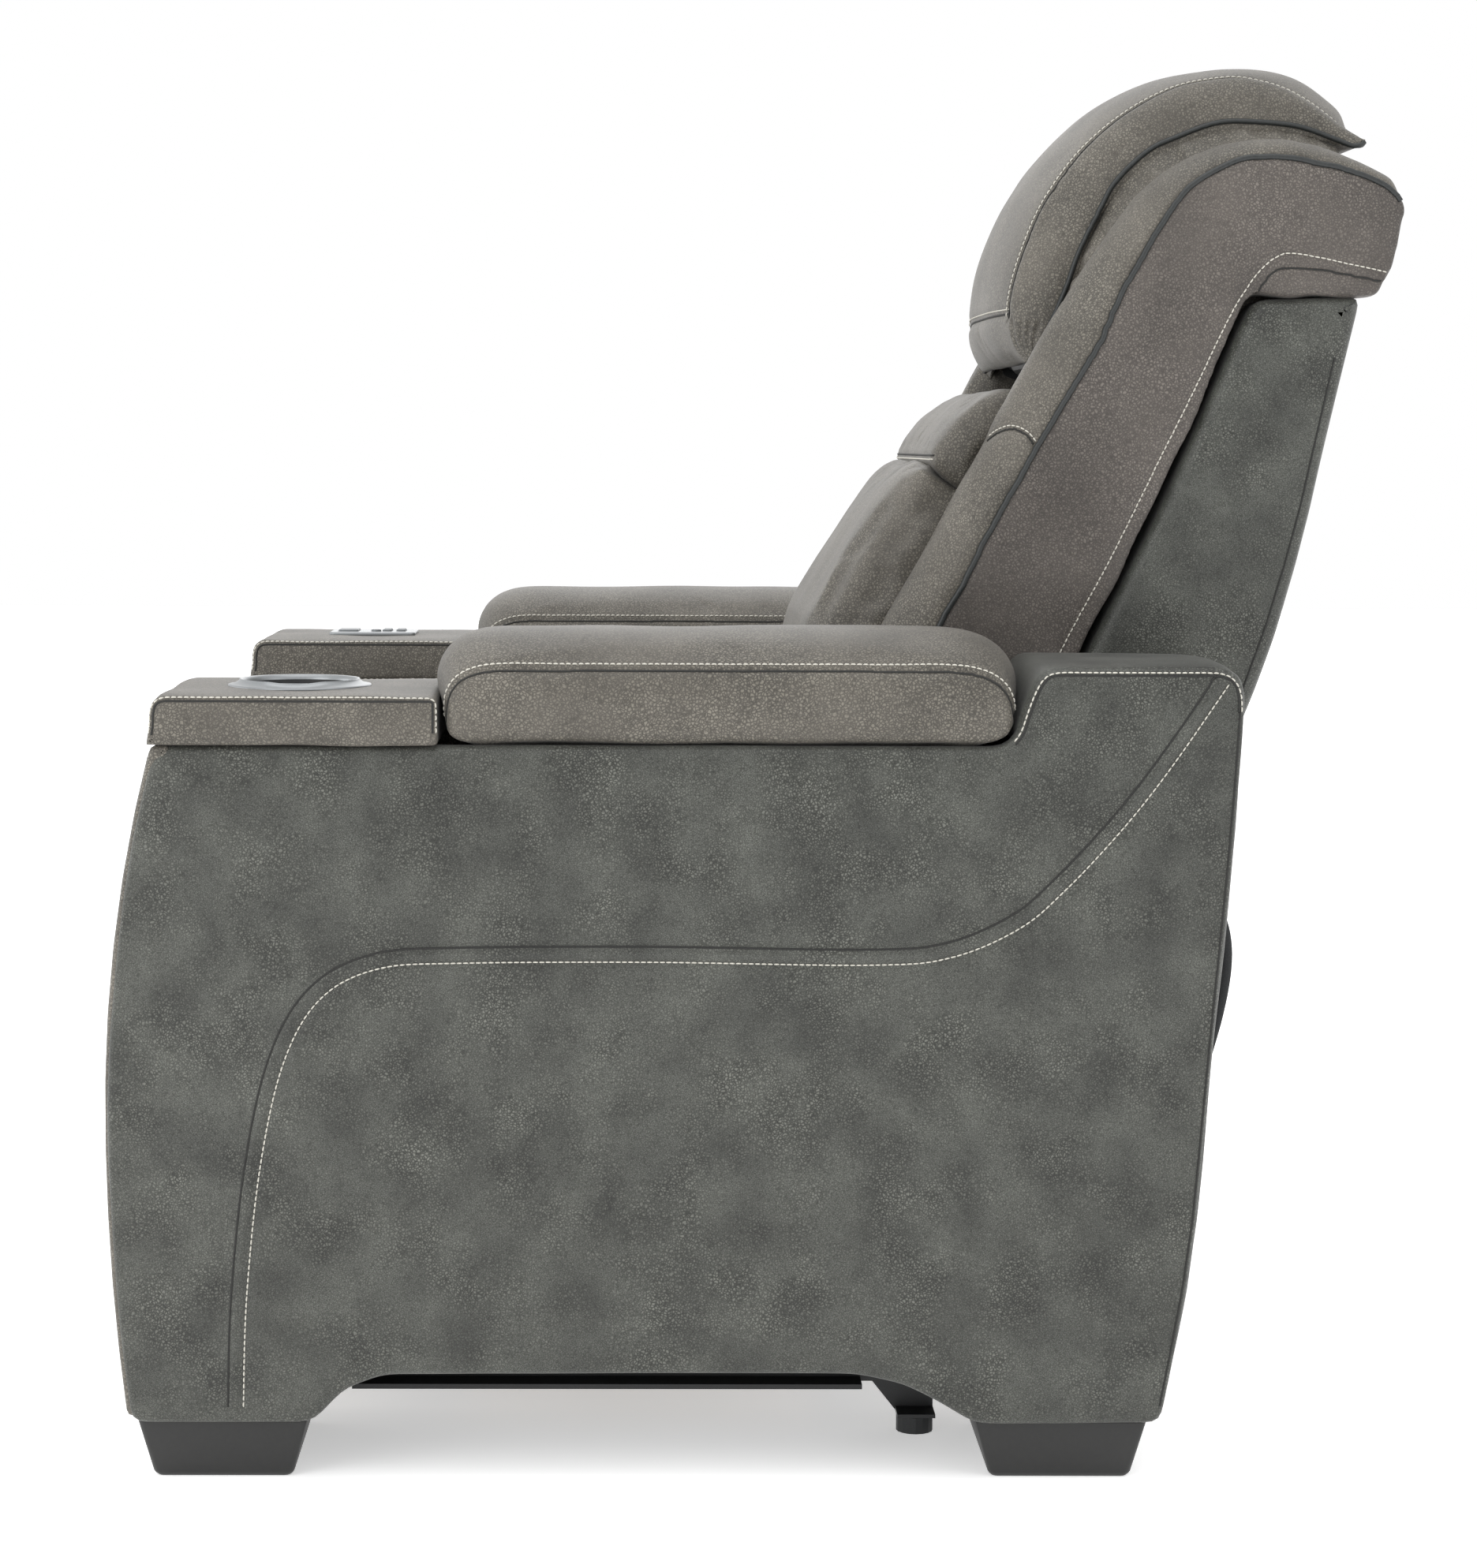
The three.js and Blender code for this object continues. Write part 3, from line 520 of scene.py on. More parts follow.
def press(piece, path, depth, width):
    """Presses a valley into a surface along a path of 3D points."""
    tree = kdtree.KDTree(len(path))
    for i, p in enumerate(path):
        tree.insert(p, i)
    tree.balance()
    mesh = piece.data
    normals = [v.normal.copy() for v in mesh.vertices]
    for v, n in zip(mesh.vertices, normals):
        away = tree.find(v.co)[2]
        if away < 3 * width:
            v.co -= n * depth * math.exp(-((away / width) ** 2))
    mesh.update()


# %% [markdown]
# ## Seams, stitches and piping
# A seam is drawn as the maker sews it: a path is dropped onto the finished surface, a dark tube along it is
# painted shade for the gap where two pieces of leather meet, and a row of separate stitches runs beside it.
# Stitches are about 4 mm long with 1 mm between them, each one a small bowed bead of thread.


# %% Sewing
def surface_of(piece):
    mesh = piece.data
    return BVHTree.FromPolygons([v.co for v in mesh.vertices], [tuple(f.vertices) for f in mesh.polygons])


def drop(tree, points, direction):
    """Drops points onto a surface along a direction: returns (place, normal) pairs."""
    direction = Vector(direction).normalized()
    landed = []
    for p in points:
        hit, normal, _, _ = tree.ray_cast(Vector(p) - direction * 0.5, direction)
        if hit is not None:
            landed.append((hit, normal))
    return landed


def snap(tree, points):
    """The nearest places on a surface: (place, normal) pairs."""
    return [tree.find_nearest(Vector(p))[:2] for p in points]


def tube_data(path, radius, sides=8, closed=False, ends=True):
    """Vertices and faces of a tube along a path; radius may be a list."""
    verts, faces = [], []
    count = len(path)
    radii = radius if isinstance(radius, list) else [radius] * count
    frame_normal = None
    for i, p in enumerate(path):
        a, b = path[i - 1 if (i or closed) else 0], path[(i + 1) % count if (closed or i < count - 1) else i]
        along = (b - a).normalized()
        if frame_normal is None:
            frame_normal = along.orthogonal().normalized()
        frame_normal = (frame_normal - along * frame_normal.dot(along)).normalized()
        other = along.cross(frame_normal)
        for k in range(sides):
            angle = 2 * math.pi * k / sides
            verts.append(p + (frame_normal * math.cos(angle) + other * math.sin(angle)) * radii[i])
    for i in range(count if closed else count - 1):
        j = (i + 1) % count
        for k in range(sides):
            m = (k + 1) % sides
            faces.append((i * sides + k, i * sides + m, j * sides + m, j * sides + k))
    if ends and not closed:
        faces.append(tuple(reversed(range(sides))))
        faces.append(tuple(range((count - 1) * sides, count * sides)))
    return verts, faces


def gather(name, parts, material, body, smooth=True):
    """Makes one piece from many (vertices, faces) parts."""
    verts, faces = [], []
    for part_verts, part_faces in parts:
        first = len(verts)
        verts += part_verts
        faces += [tuple(i + first for i in face) for face in part_faces]
    mesh = bpy.data.meshes.new(name)
    mesh.from_pydata(verts, [], faces)
    mesh.materials.append(material)
    mesh.polygons.foreach_set("use_smooth", [smooth] * len(mesh.polygons))
    piece = bpy.data.objects.new(name, mesh)
    bpy.context.scene.collection.objects.link(piece)
    facing_out(piece)
    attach(piece, body)
    return piece


STITCH_PITCH = 4.9 * MM
STITCH_LENGTH = 3.9 * MM
STITCH_RADIUS = 0.6 * MM
# Radius of the dark tube laid in each seam as painted shade.
SEAM_SHADE_RADIUS = 0.9 * MM


def stitch_parts(landed):
    """Beads of thread along a path of (place, normal) pairs."""
    places = [p for p, _ in landed]
    total = path_length(places)
    count = max(2, round(total / (0.5 * STITCH_PITCH)))
    path = even(places, count)
    tree = kdtree.KDTree(len(places))
    for i, p in enumerate(places):
        tree.insert(p, i)
    tree.balance()
    parts = []
    for i in range(0, count - 1, 2):
        a, b = path[i], path[i + 2] if i + 2 <= count else path[i + 1]
        n = landed[tree.find(path[i + 1])[1]][1]
        b = a.lerp(b, STITCH_LENGTH / max((b - a).length, 1e-6))
        lift = STITCH_RADIUS
        bow = [a - n * lift * 0.5, a.lerp(b, 0.2) + n * lift * 0.55, a.lerp(b, 0.5) + n * lift * 0.8,
               a.lerp(b, 0.8) + n * lift * 0.55, b - n * lift * 0.5]
        parts.append(tube_data(bow, [0.6 * lift, lift, lift * 1.1, lift, 0.6 * lift], 6))
    return parts


def beside(landed, offset):
    """The same path moved sideways on its surface."""
    result = []
    for i, (p, n) in enumerate(landed):
        along = landed[min(i + 1, len(landed) - 1)][0] - landed[max(i - 1, 0)][0]
        result.append(p + along.cross(n).normalized() * offset)
    return result


sewing = {}


def sew(piece, body, landed, stitch_offset=3.6 * MM, depth=1.6 * MM, width=4.0 * MM, line=True, rows=1):
    """Presses a seam into a piece and lays its stitches and, if asked, a dark tube of painted shade along it."""
    press(piece, [p for p, _ in landed], depth, width)
    tree = surface_of(piece)
    kept = sewing.setdefault(body, {"stitches": [], "shade_lines": []})
    # A dark tube sunk into the pressed groove is painted shade for the seam's gap.
    if line:
        sunk = snap(tree, [p for p, _ in landed])
        kept["shade_lines"].append(tube_data([p + n * 0.1 * MM for p, n in sunk], SEAM_SHADE_RADIUS, 6))
    for row in range(rows):
        offset = stitch_offset if row == 0 else -stitch_offset
        kept["stitches"] += stitch_parts(snap(tree, beside(landed, offset)))


def finish_sewing():
    for body, kept in sewing.items():
        if kept["stitches"]:
            gather(f"stitches_{body}", kept["stitches"], thread, body)
        if kept["shade_lines"]:
            # The dark seam tubes, painted shade, are gathered into one piece per body.
            gather(f"seam_shade_lines_{body}", kept["shade_lines"], painted_seam_shade, body)
        print(body, "has", len(kept["stitches"]), "stitches in", len(kept["shade_lines"]), "seams")


def dress(piece, body, slot, *nodes, fill=None):
    """A finished cover: what it rides on, and which CAD nodes it stands for; slot, the finish it would take, is not
    used.
    """
    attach(piece, body)
    if nodes:
        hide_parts(*nodes)


SIDES = (("left", 1), ("right", -1))


def x_range(node):
    low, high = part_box(node)
    return low[0], high[0]


# %% [markdown]
# ## Arm side panels
# Each arm's outer side is one big dark panel with a soft roll at its rim. A curved seam with a raised welt
# beside it runs from the front foot up, over and back to the rear corner. The taupe front panel wraps round
# in front of it, so the dark panel starts 5 mm behind the arm's bowed front.

# %% Arm side panels
PANEL_SEAM = [(-419, 60), (-416, 149), (-406, 246), (-388, 328), (-360, 378), (-316, 402), (-250, 407),
              (-100, 408), (67, 406), (129, 412), (182, 435), (217, 465), (252, 502), (279, 534), (305, 569),
              (343, 624)]
FRONT_WRAP = 3 * MM
WELT = 6.5 * MM


def forward_edge(ring, reach, from_y):
    """Moves the front part of an outline forward."""
    return [Vector((p.x - reach, p.y)) if p.x < from_y else p for p in ring]


def roll_edge(piece, sign, face_x):
    """Rounds the panel's outer face over its top edge, in front of the rear block."""
    for v in piece.data.vertices:
        rise = (v.co.z - (ROLL_TOP - ROLL_REACH)) / ROLL_REACH
        if rise > 0 and v.co.y < ROLL_END_Y:
            rise = min(rise, 1.0)
            near = max(0.0, 1 - abs(v.co.x - face_x) / (14 * MM))
            fade = min(1.0, (ROLL_END_Y - v.co.y) / (40 * MM))
            v.co.x -= sign * ROLL_DEPTH * near * fade * (1 - math.sqrt(1 - rise * rise * 0.98))
    piece.data.update()


ROLL_TOP = 574 * MM
ROLL_REACH = 26 * MM
ROLL_DEPTH = 9 * MM
ROLL_END_Y = 185 * MM
panel_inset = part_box("arm_outer_panel_left")[0][1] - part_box("arm_front_panel_left")[0][1]
for label, sign in SIDES:
    node = f"arm_outer_panel_{label}"
    outline = forward_edge(node_outline(node), panel_inset - FRONT_WRAP, -0.44)
    ring = even_ring(outline, 7 * MM, soften=2)
    x0, x1 = x_range(node)
    seam2d = spline([(y * MM, z * MM) for y, z in PANEL_SEAM], 220)
    normals = [(b - a).normalized() for a, b in zip(seam2d[:1] + seam2d[:-1], seam2d[1:] + seam2d[-1:])]
    rails = []
    for offset in (-12, -8, -5, -2.2, 0, 2.2, 5, 8, 12):
        rails += [p + Vector((-t.y, t.x)) * offset * MM for p, t in zip(seam2d, normals)]
    extra = [(), rails] if sign > 0 else [rails, ()]
    crown = (0.5 * MM, 4 * MM) if sign > 0 else (4 * MM, 0.5 * MM)
    piece = loft(f"arm_side_cover_{label}", rounded_stations(ring, x0, x1, 4.5 * MM, middle=2), dark,
                 9 * MM, crown, 0.05, extra)
    crumple(piece, 1.6 * MM, 0.11, seed=3 + sign, where=lambda co: 1.0 if abs(co.x) > 0.478 else 0.0)
    roll_edge(piece, sign, x1 if sign > 0 else x0)
    side_tree = surface_of(piece)
    path = drop(side_tree, [Vector((sign * 0.6, p.x, p.y)) for p in seam2d], (-sign, 0, 0))
    outside = [Vector((-t.y, t.x)) * WELT for t in normals]
    welt = drop(side_tree, [Vector((sign * 0.6, p.x + o.x, p.y + o.y)) for p, o in zip(seam2d, outside)],
                (-sign, 0, 0))
    press(piece, [p for p, _ in welt], -1.3 * MM, 3.6 * MM)
    sew(piece, "base", path, stitch_offset=0.2 * MM, depth=1.8 * MM, width=3.0 * MM, line=False)
    # A dark tube with no stitches, 5.5 mm beyond the raised welt, is painted shade along the welt's far side.
    welt_shadow_path = [w + (w - p).normalized() * 5.5 * MM for (p, _), (w, _) in zip(path, welt)]
    sew(piece, "base", snap(surface_of(piece), welt_shadow_path), depth=1.4 * MM, width=2.4 * MM, rows=0)
    dress(piece, "base", "dark_leather", node)
    print(piece.name, len(piece.data.vertices), "points")

# %% [markdown]
# ## The rest of the arms
# Front and inner panels are taupe over thin foam. The rear post is dark: its cap and back board make the raised
# block behind the pad. Rims are sewn: a dark line of painted shade with stitches runs parallel to the edge, a few
# millimetres in.


# %% Cover helpers
def plain_cover(name, node, material, edge, step, bulge=lambda t, p, n: 0.0, crown=(0.0, 0.0), soften=1,
                x_trim=0.0, middle=8, spacing=10 * MM, outline=None):
    """A cover lofted from a CAD node's own outline, or from one given."""
    x0, x1 = x_range(node)
    ring = even_ring(outline or node_outline(node), step, soften)
    return loft(name, rounded_stations(ring, x0 + x_trim, x1 - x_trim, edge, bulge, middle), material,
                spacing, crown)


def rim_path(ring, start, end, inset, backwards=False):
    """Part of an outline, from the point nearest start to the one nearest end, moved inwards."""
    moved = [p - n * inset for p, n in zip(ring, ring_normals(ring))]
    nearest = [min(range(len(ring)), key=lambda i: (ring[i] - Vector(q) * MM).length) for q in (start, end)]
    first, last = nearest
    if backwards:
        first, last = last, first
    path = [moved[(first + k) % len(ring)] for k in range((last - first) % len(ring) + 1)]
    return path[::-1] if backwards else path


def side_drop(piece, sign, path2d, count=160):
    """A side path dropped onto the outer face of a piece."""
    path = even(path2d, count)
    reach = sign * 0.7
    return drop(surface_of(piece), [Vector((reach, p.x, p.y)) for p in path], (-sign, 0, 0))


def front_facing(height, power=2.0):
    return lambda t, p, n: height * max(-n.x, 0.0) * (1 - abs(t) ** power)


def top_facing(height, power=2.0):
    return lambda t, p, n: height * max(n.y, 0.0) * (1 - abs(t) ** power)


def smooth_step(value, low, high):
    t = min(max((value - low) / (high - low), 0.0), 1.0)
    return t * t * (3 - 2 * t)


# %% Arm fronts, inner sides and rear posts
for label, sign in SIDES:
    front = plain_cover(f"arm_front_cover_{label}", f"arm_front_panel_{label}", taupe, 5 * MM, 5 * MM,
                        x_trim=2.5 * MM)
    dress(front, "base", "taupe_leather", f"arm_front_panel_{label}")
    x0, x1 = x_range(f"arm_front_panel_{label}")
    z0, z1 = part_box(f"arm_front_panel_{label}")[0][2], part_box(f"arm_front_panel_{label}")[1][2]
    for x, stitch_side in ((x0 + 14 * MM, 1), (x1 - 14 * MM, -1)):
        points = [Vector((x, -0.7, z0 + 0.01 + (z1 - z0 - 0.02) * k / 90)) for k in range(91)]
        sew(front, "base", drop(surface_of(front), points, (0, 1, 0)), stitch_offset=3.4 * MM * stitch_side,
            depth=0.9 * MM)

    inner = plain_cover(f"arm_inner_cover_{label}", f"arm_inner_panel_{label}", taupe, 8 * MM, 9 * MM, middle=2)
    crumple(inner, 0.8 * MM, 0.12, seed=7, where=lambda co: 1.0 if abs(co.x) < 0.28 else 0.0)
    dress(inner, "base", "taupe_leather", f"arm_inner_panel_{label}")

    node = f"arm_rear_post_{label}"
    ring = even_ring(node_outline(node), 5 * MM, 1)
    ring = [p + n * 1.0 * MM for p, n in zip(ring, ring_normals(ring))]
    arm_x0, arm_x1 = x_range(f"arm_front_panel_{label}")
    rear = loft(f"arm_rear_cover_{label}", rounded_stations(ring, arm_x0 + 3 * MM, arm_x1 - 3 * MM, 7 * MM,
                top_facing(3 * MM), 10), dark, 8 * MM)
    crumple(rear, 2.0 * MM, 0.10, seed=11, where=lambda co: 1.0 if co.y > 0.2 else 0.4)
    dress(rear, "base", "dark_leather", node)

    panel_ring = even_ring(node_outline(f"arm_outer_panel_{label}"), 5 * MM, 2)
    block_rim = rim_path(panel_ring, (354, 604), (174, 578), 4.5 * MM)
    cover = bpy.data.objects[f"arm_side_cover_{label}"]
    sew(cover, "base", side_drop(cover, sign, block_rim, 90), stitch_offset=2.4 * MM * sign, depth=0.8 * MM,
        width=2.6 * MM)
    rear_rim = rim_path(panel_ring, (300, 62), (355, 600), 3.5 * MM)
    sew(cover, "base", side_drop(cover, sign, rear_rim, 200), depth=0.6 * MM, width=2.6 * MM, rows=0)
print("arm covers made")

# %% [markdown]
# ## Console blocks and arm pads
# The console block is a firm foam box with a sewn top edge. The pad behind it is softer: its side panel stops
# 24 mm under the crown, and the top panel domes over the middle. Both have the same seam: a dark line of painted
# shade with cream stitches above it.


# %% Console blocks
def cut_out(piece, cutter):
    """Cuts one mesh out of another and removes the cutter."""
    modifier = piece.modifiers.new("hole", "BOOLEAN")
    modifier.operation = "DIFFERENCE"
    modifier.solver = "EXACT"
    modifier.object = cutter
    apply_modifier(piece, modifier)
    bpy.data.objects.remove(cutter)


def stand_up(piece):
    """Turns a loft along X into one along Z."""
    for v in piece.data.vertices:
        v.co = Vector((v.co.y, v.co.z, v.co.x))
    piece.data.update()
    facing_out(piece)
    return piece


def round_plan(x0, x1, y0, y1, radius, per_corner=6):
    """A rounded rectangle in plan, anticlockwise from above."""
    ring = []
    for cx, cy, turn in ((x1 - radius, y0 + radius, -90), (x1 - radius, y1 - radius, 0),
                         (x0 + radius, y1 - radius, 90), (x0 + radius, y0 + radius, 180)):
        for k in range(per_corner + 1):
            a = math.radians(turn + 90 * k / per_corner)
            ring.append(Vector((cx + radius * math.cos(a), cy + radius * math.sin(a))))
    return ring


def post(name, ring, z0, z1, material, edge=0.0, spacing=4 * MM):
    """A column with a plan outline, and rounded top and bottom edges if asked."""
    levels = rounded_stations(ring, z0, z1, edge, middle=1) if edge else [(z0, ring), (z1, ring)]
    return stand_up(loft(name, levels, material, spacing))


CORNER_REACH = 6 * MM                 # how far the block's top front edge is pulled out by its corner seam
cup_low, cup_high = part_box("cup_holder")
cup_centre = Vector(((cup_low[0] + cup_high[0]) / 2, (cup_low[1] + cup_high[1]) / 2))
cup_ring = (cup_high[0] - cup_low[0]) / 2
for label, sign in SIDES:
    node = f"console_block_{label}"
    outline = [Vector((p.x - CORNER_REACH * smooth_step(p.y, 0.588, 0.606), p.y)) if p.x < -0.46 else p
               for p in node_outline(node)]
    block = plain_cover(f"console_cover_{label}", node, taupe, 4 * MM, 3 * MM, top_facing(1.5 * MM, 4),
                        (1.2 * MM, 1.2 * MM), 0, x_trim=-0.5 * MM, spacing=7 * MM, outline=outline)
    crumple(block, 1.4 * MM, 0.06, seed=21)
    ring = even_ring(outline, 3 * MM)
    for face_sign in (1, -1):
        rim = rim_path(ring, (-270, 584), (-494, 584), 3.5 * MM)
        sew(block, "base", side_drop(block, face_sign, rim, 130) if face_sign == sign else
            drop(surface_of(block), [Vector((0, p.x, p.y)) for p in even(rim, 130)], (sign, 0, 0)),
            stitch_offset=3.6 * MM * face_sign, depth=1.0 * MM, width=2.4 * MM)
    dress(block, "base", "taupe_leather", node, fill=0.9)
    if label == "left":
        circle = [cup_centre + Vector((math.cos(a), math.sin(a))) * 47 * MM
                  for a in (2 * math.pi * k / 64 for k in range(64))]
        cut_out(block, post("cutter", circle, 0.56, 0.64, taupe))
    else:
        low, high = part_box("control_housing")
        plan = round_plan(low[0] - MM, high[0] + MM, low[1] - MM, high[1] + MM, 2 * MM)
        cut_out(block, post("cutter", plan, 0.56, 0.64, taupe))
print("console covers cut for the cup holder and the switch panel")

# %% Arm pads
PAD_SIDE_SHARE = 0.735                # how much of the pad's height its side panel takes
PAD_DOME = 24 * MM
for label, sign in SIDES:
    node = f"arm_pad_{label}"
    low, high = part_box(node)
    outline = [Vector((p.x, low[2] + (p.y - low[2]) * PAD_SIDE_SHARE)) for p in node_outline(node)]
    ring = even_ring(outline, 5 * MM, 2)
    pad = loft(f"arm_pad_cover_{label}", rounded_stations(
        ring, low[0] + 1.5 * MM, high[0] - 1.5 * MM, 8 * MM,
        lambda t, p, n: PAD_DOME * max(n.y, 0) ** 0.8 * (1 - abs(t) ** 2.3), 22), taupe, 7 * MM, (2 * MM, 2 * MM))
    remesh(pad, 4.5 * MM)
    inflate(pad, 3.0 * MM, subdivide=True)
    crumple(pad, 1.2 * MM, 0.07, seed=31 + sign)
    ring = even_ring(outline, 3 * MM, 3)
    rim = rim_path(ring, (170, 582), (-256, 582), 2.5 * MM)
    sew(pad, f"arm_lid_{label}", side_drop(pad, sign, rim, 220), stitch_offset=6.2 * MM * sign,
        depth=1.6 * MM, width=3.0 * MM)
    inner_face = [Vector((0, p.x, p.y)) for p in even(rim, 220)]
    sew(pad, f"arm_lid_{label}", drop(surface_of(pad), inner_face, (sign, 0, 0)),
        stitch_offset=-6.2 * MM * sign, depth=1.6 * MM, width=3.0 * MM)
    dress(pad, f"arm_lid_{label}", "taupe_leather", node, fill=0.8)

# %% [markdown]
# ## Seat and footrest
# A thick box cushion with a rolled front edge. Two seams run front to back, and one runs across above the
# roll, so the foam swells into three fields. The footrest pad is the same leather over thinner foam.


# %% Seat cushion
def across(x0, x1, y, z, count=140):
    return [Vector((x0 + (x1 - x0) * k / count, y, z)) for k in range(count + 1)]


SEAT_SEAM_X = 176 * MM
seat = plain_cover("seat_cushion_cover", "seat_cushion", taupe, 20 * MM, 8 * MM, top_facing(9 * MM, 4),
                   (4 * MM, 4 * MM), 2, x_trim=-5 * MM, middle=20)
remesh(seat, 6 * MM)
inflate(seat, 7 * MM, subdivide=True)
crumple(seat, 3 * MM, 0.10, seed=41, where=lambda co: 1.0 if co.z > 0.45 else 0.5)
seat_low, seat_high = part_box("seat_cushion")
for x in (-SEAT_SEAM_X, SEAT_SEAM_X):
    along_top = [Vector((x, seat_low[1] + 0.03 + 0.46 * k / 150, 0.9)) for k in range(151)]
    sew(seat, "seat", drop(surface_of(seat), along_top, (0, 0, -1)), depth=5 * MM, width=9 * MM, rows=2)
front_seam = across(-0.255, 0.255, seat_low[1] + 38 * MM, 0.9)
sew(seat, "seat", drop(surface_of(seat), front_seam, (0, 0, -1)), depth=4 * MM, width=8 * MM)
dress(seat, "seat", "taupe_leather", "seat_cushion", fill=0.8)

footpad = plain_cover("footrest_pad_cover", "footrest_pad", taupe, 16 * MM, 7 * MM, front_facing(7 * MM, 3),
                      (2 * MM, 2 * MM), 2, middle=18)
remesh(footpad, 6 * MM)
inflate(footpad, 4 * MM, subdivide=True)
crumple(footpad, 2 * MM, 0.09, seed=47)
foot_low, foot_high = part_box("footrest_pad")
for z in (foot_low[2] + 62 * MM, foot_high[2] - 62 * MM):
    path = drop(surface_of(footpad), across(-0.232, 0.232, -0.8, z), (0, 1, 0))
    sew(footpad, "footrest", path, depth=3 * MM, width=7 * MM)
dress(footpad, "footrest", "taupe_leather", "footrest_pad", fill=0.7)

# %% [markdown]
# ## Lumbar and shoulder cushions
# Two fields of the inner back. The lumbar field is deep and bows forward; the shoulder pillow above it laps
# over its top edge, and rises to meet the headrest.

# %% Inner back
lumbar = plain_cover("lumbar_cover", "lumbar_cushion", taupe, 14 * MM, 6 * MM, front_facing(6 * MM, 3),
                     soften=0, x_trim=-3 * MM, middle=18)
remesh(lumbar, 6 * MM)
inflate(lumbar, 6 * MM, subdivide=True)
crumple(lumbar, 3 * MM, 0.10, seed=51)
low_seam = drop(surface_of(lumbar), across(-0.19, 0.19, -0.3, 0.560), (0, 1, 0))
sew(lumbar, "back", low_seam, depth=4 * MM, width=7 * MM)
dress(lumbar, "back", "taupe_leather", "lumbar_cushion", fill=0.8)


SHOULDER_LIFT = 14 * MM
outline = even_ring(node_outline("shoulder_cushion"), 3 * MM)
raised = [Vector((p.x, p.y + SHOULDER_LIFT * smooth_step(p.x, 0.14, 0.19) * (1 - smooth_step(p.x, 0.205, 0.235))
                  * smooth_step(p.y, 0.80, 0.825))) for p in outline]
lapped = [p + Vector((-3, -9)) * MM * smooth_step(-p.y, -0.803, -0.785) if p.x < 0.19 else p for p in raised]
shoulder_x0, shoulder_x1 = x_range("shoulder_cushion")
shoulder = loft("shoulder_cover", rounded_stations(lapped, shoulder_x0 - 3 * MM, shoulder_x1 + 3 * MM, 10 * MM,
                front_facing(4 * MM, 3), 18), taupe, 7 * MM)
remesh(shoulder, 5 * MM)
inflate(shoulder, 3 * MM, subdivide=True)
crumple(shoulder, 2 * MM, 0.07, seed=57)
lap_seam = drop(surface_of(shoulder), across(-0.196, 0.196, -0.3, 0.799), (0, 1, 0))
sew(shoulder, "back", lap_seam, depth=1.0 * MM, width=3 * MM)
dress(shoulder, "back", "taupe_leather", "shoulder_cushion", fill=0.8)

# %% [markdown]
# ## Back wings
# Each wing is a flat brown side panel and a fat taupe bolster that rolls round from the side to the front.
# Charcoal piping marks where they meet. The roll is an ellipse: 45 mm deep and 39 mm wide.

# %% Back wings
PIPING = [(525, 1016), (507, 1028), (482, 1038), (449, 1045), (424, 1048), (394, 1048), (368, 1038), (348, 1025),
          (330, 1005), (310, 972), (290, 937), (272, 896), (252, 861), (229, 823), (196, 765), (176, 729),
          (161, 698), (136, 652), (112, 590), (98, 530), (93, 470), (98, 404)]
BOLSTER_CROSS_SEAM = [(216, 809), (208, 818), (197, 822), (186, 818), (177, 809), (170, 799)]
WING_SEAM = [(514, 952), (470, 961), (433, 968), (420, 966), (404, 953), (381, 917), (352, 857), (323, 798),
             (287, 724), (247, 648),
             (214, 580)]
WING_HEM = [(512, 944), (475, 951), (440, 956), (420, 955), (408, 945), (398, 926)]
CREST_X = 228 * MM
WING_EDGE = 13 * MM
wing_outline = node_outline("back_wing_left")


def split_outline(outline, start, end):
    """An outline as two paths: from the point nearest start round to the one nearest end, and back."""
    first, last = (min(range(len(outline)), key=lambda i: (outline[i] - Vector(q) * MM).length)
                   for q in (start, end))
    ring = outline[first:] + outline[:first]
    cut = (last - first) % len(outline)
    return ring[:cut + 1], ring[cut:] + ring[:1]


WING_FRONT_COUNT, WING_REAR_COUNT = 190, 160
front_path, rear_path = split_outline(wing_outline, (526.6, 1013), (60, 402))
full_ring = even(front_path, WING_FRONT_COUNT)[:-1] + even(rear_path, WING_REAR_COUNT)[:-1]
piped_front = spline([(y * MM, z * MM) for y, z in PIPING], WING_FRONT_COUNT)
piped_ring = piped_front[:-1] + even([piped_front[-1]] + rear_path[1:], WING_REAR_COUNT)[:-1]
wing_x0, wing_x1 = x_range("back_wing_left")
normals = ring_normals(full_ring)
wing_stations = []
for k in range(6):
    a = math.pi / 2 * k / 5
    inset = WING_EDGE * (1 - math.sin(a))
    wing_stations.append((wing_x0 + WING_EDGE * (1 - math.cos(a)), [p - n * inset for p, n in zip(full_ring, normals)]))
for k in range(0, 13):
    a = math.pi / 2 * k / 12
    share = 1 - math.cos(a)
    wing_stations.append((CREST_X + (wing_x1 - CREST_X) * math.sin(a),
                          [p.lerp(q, share) for p, q in zip(full_ring, piped_ring)]))

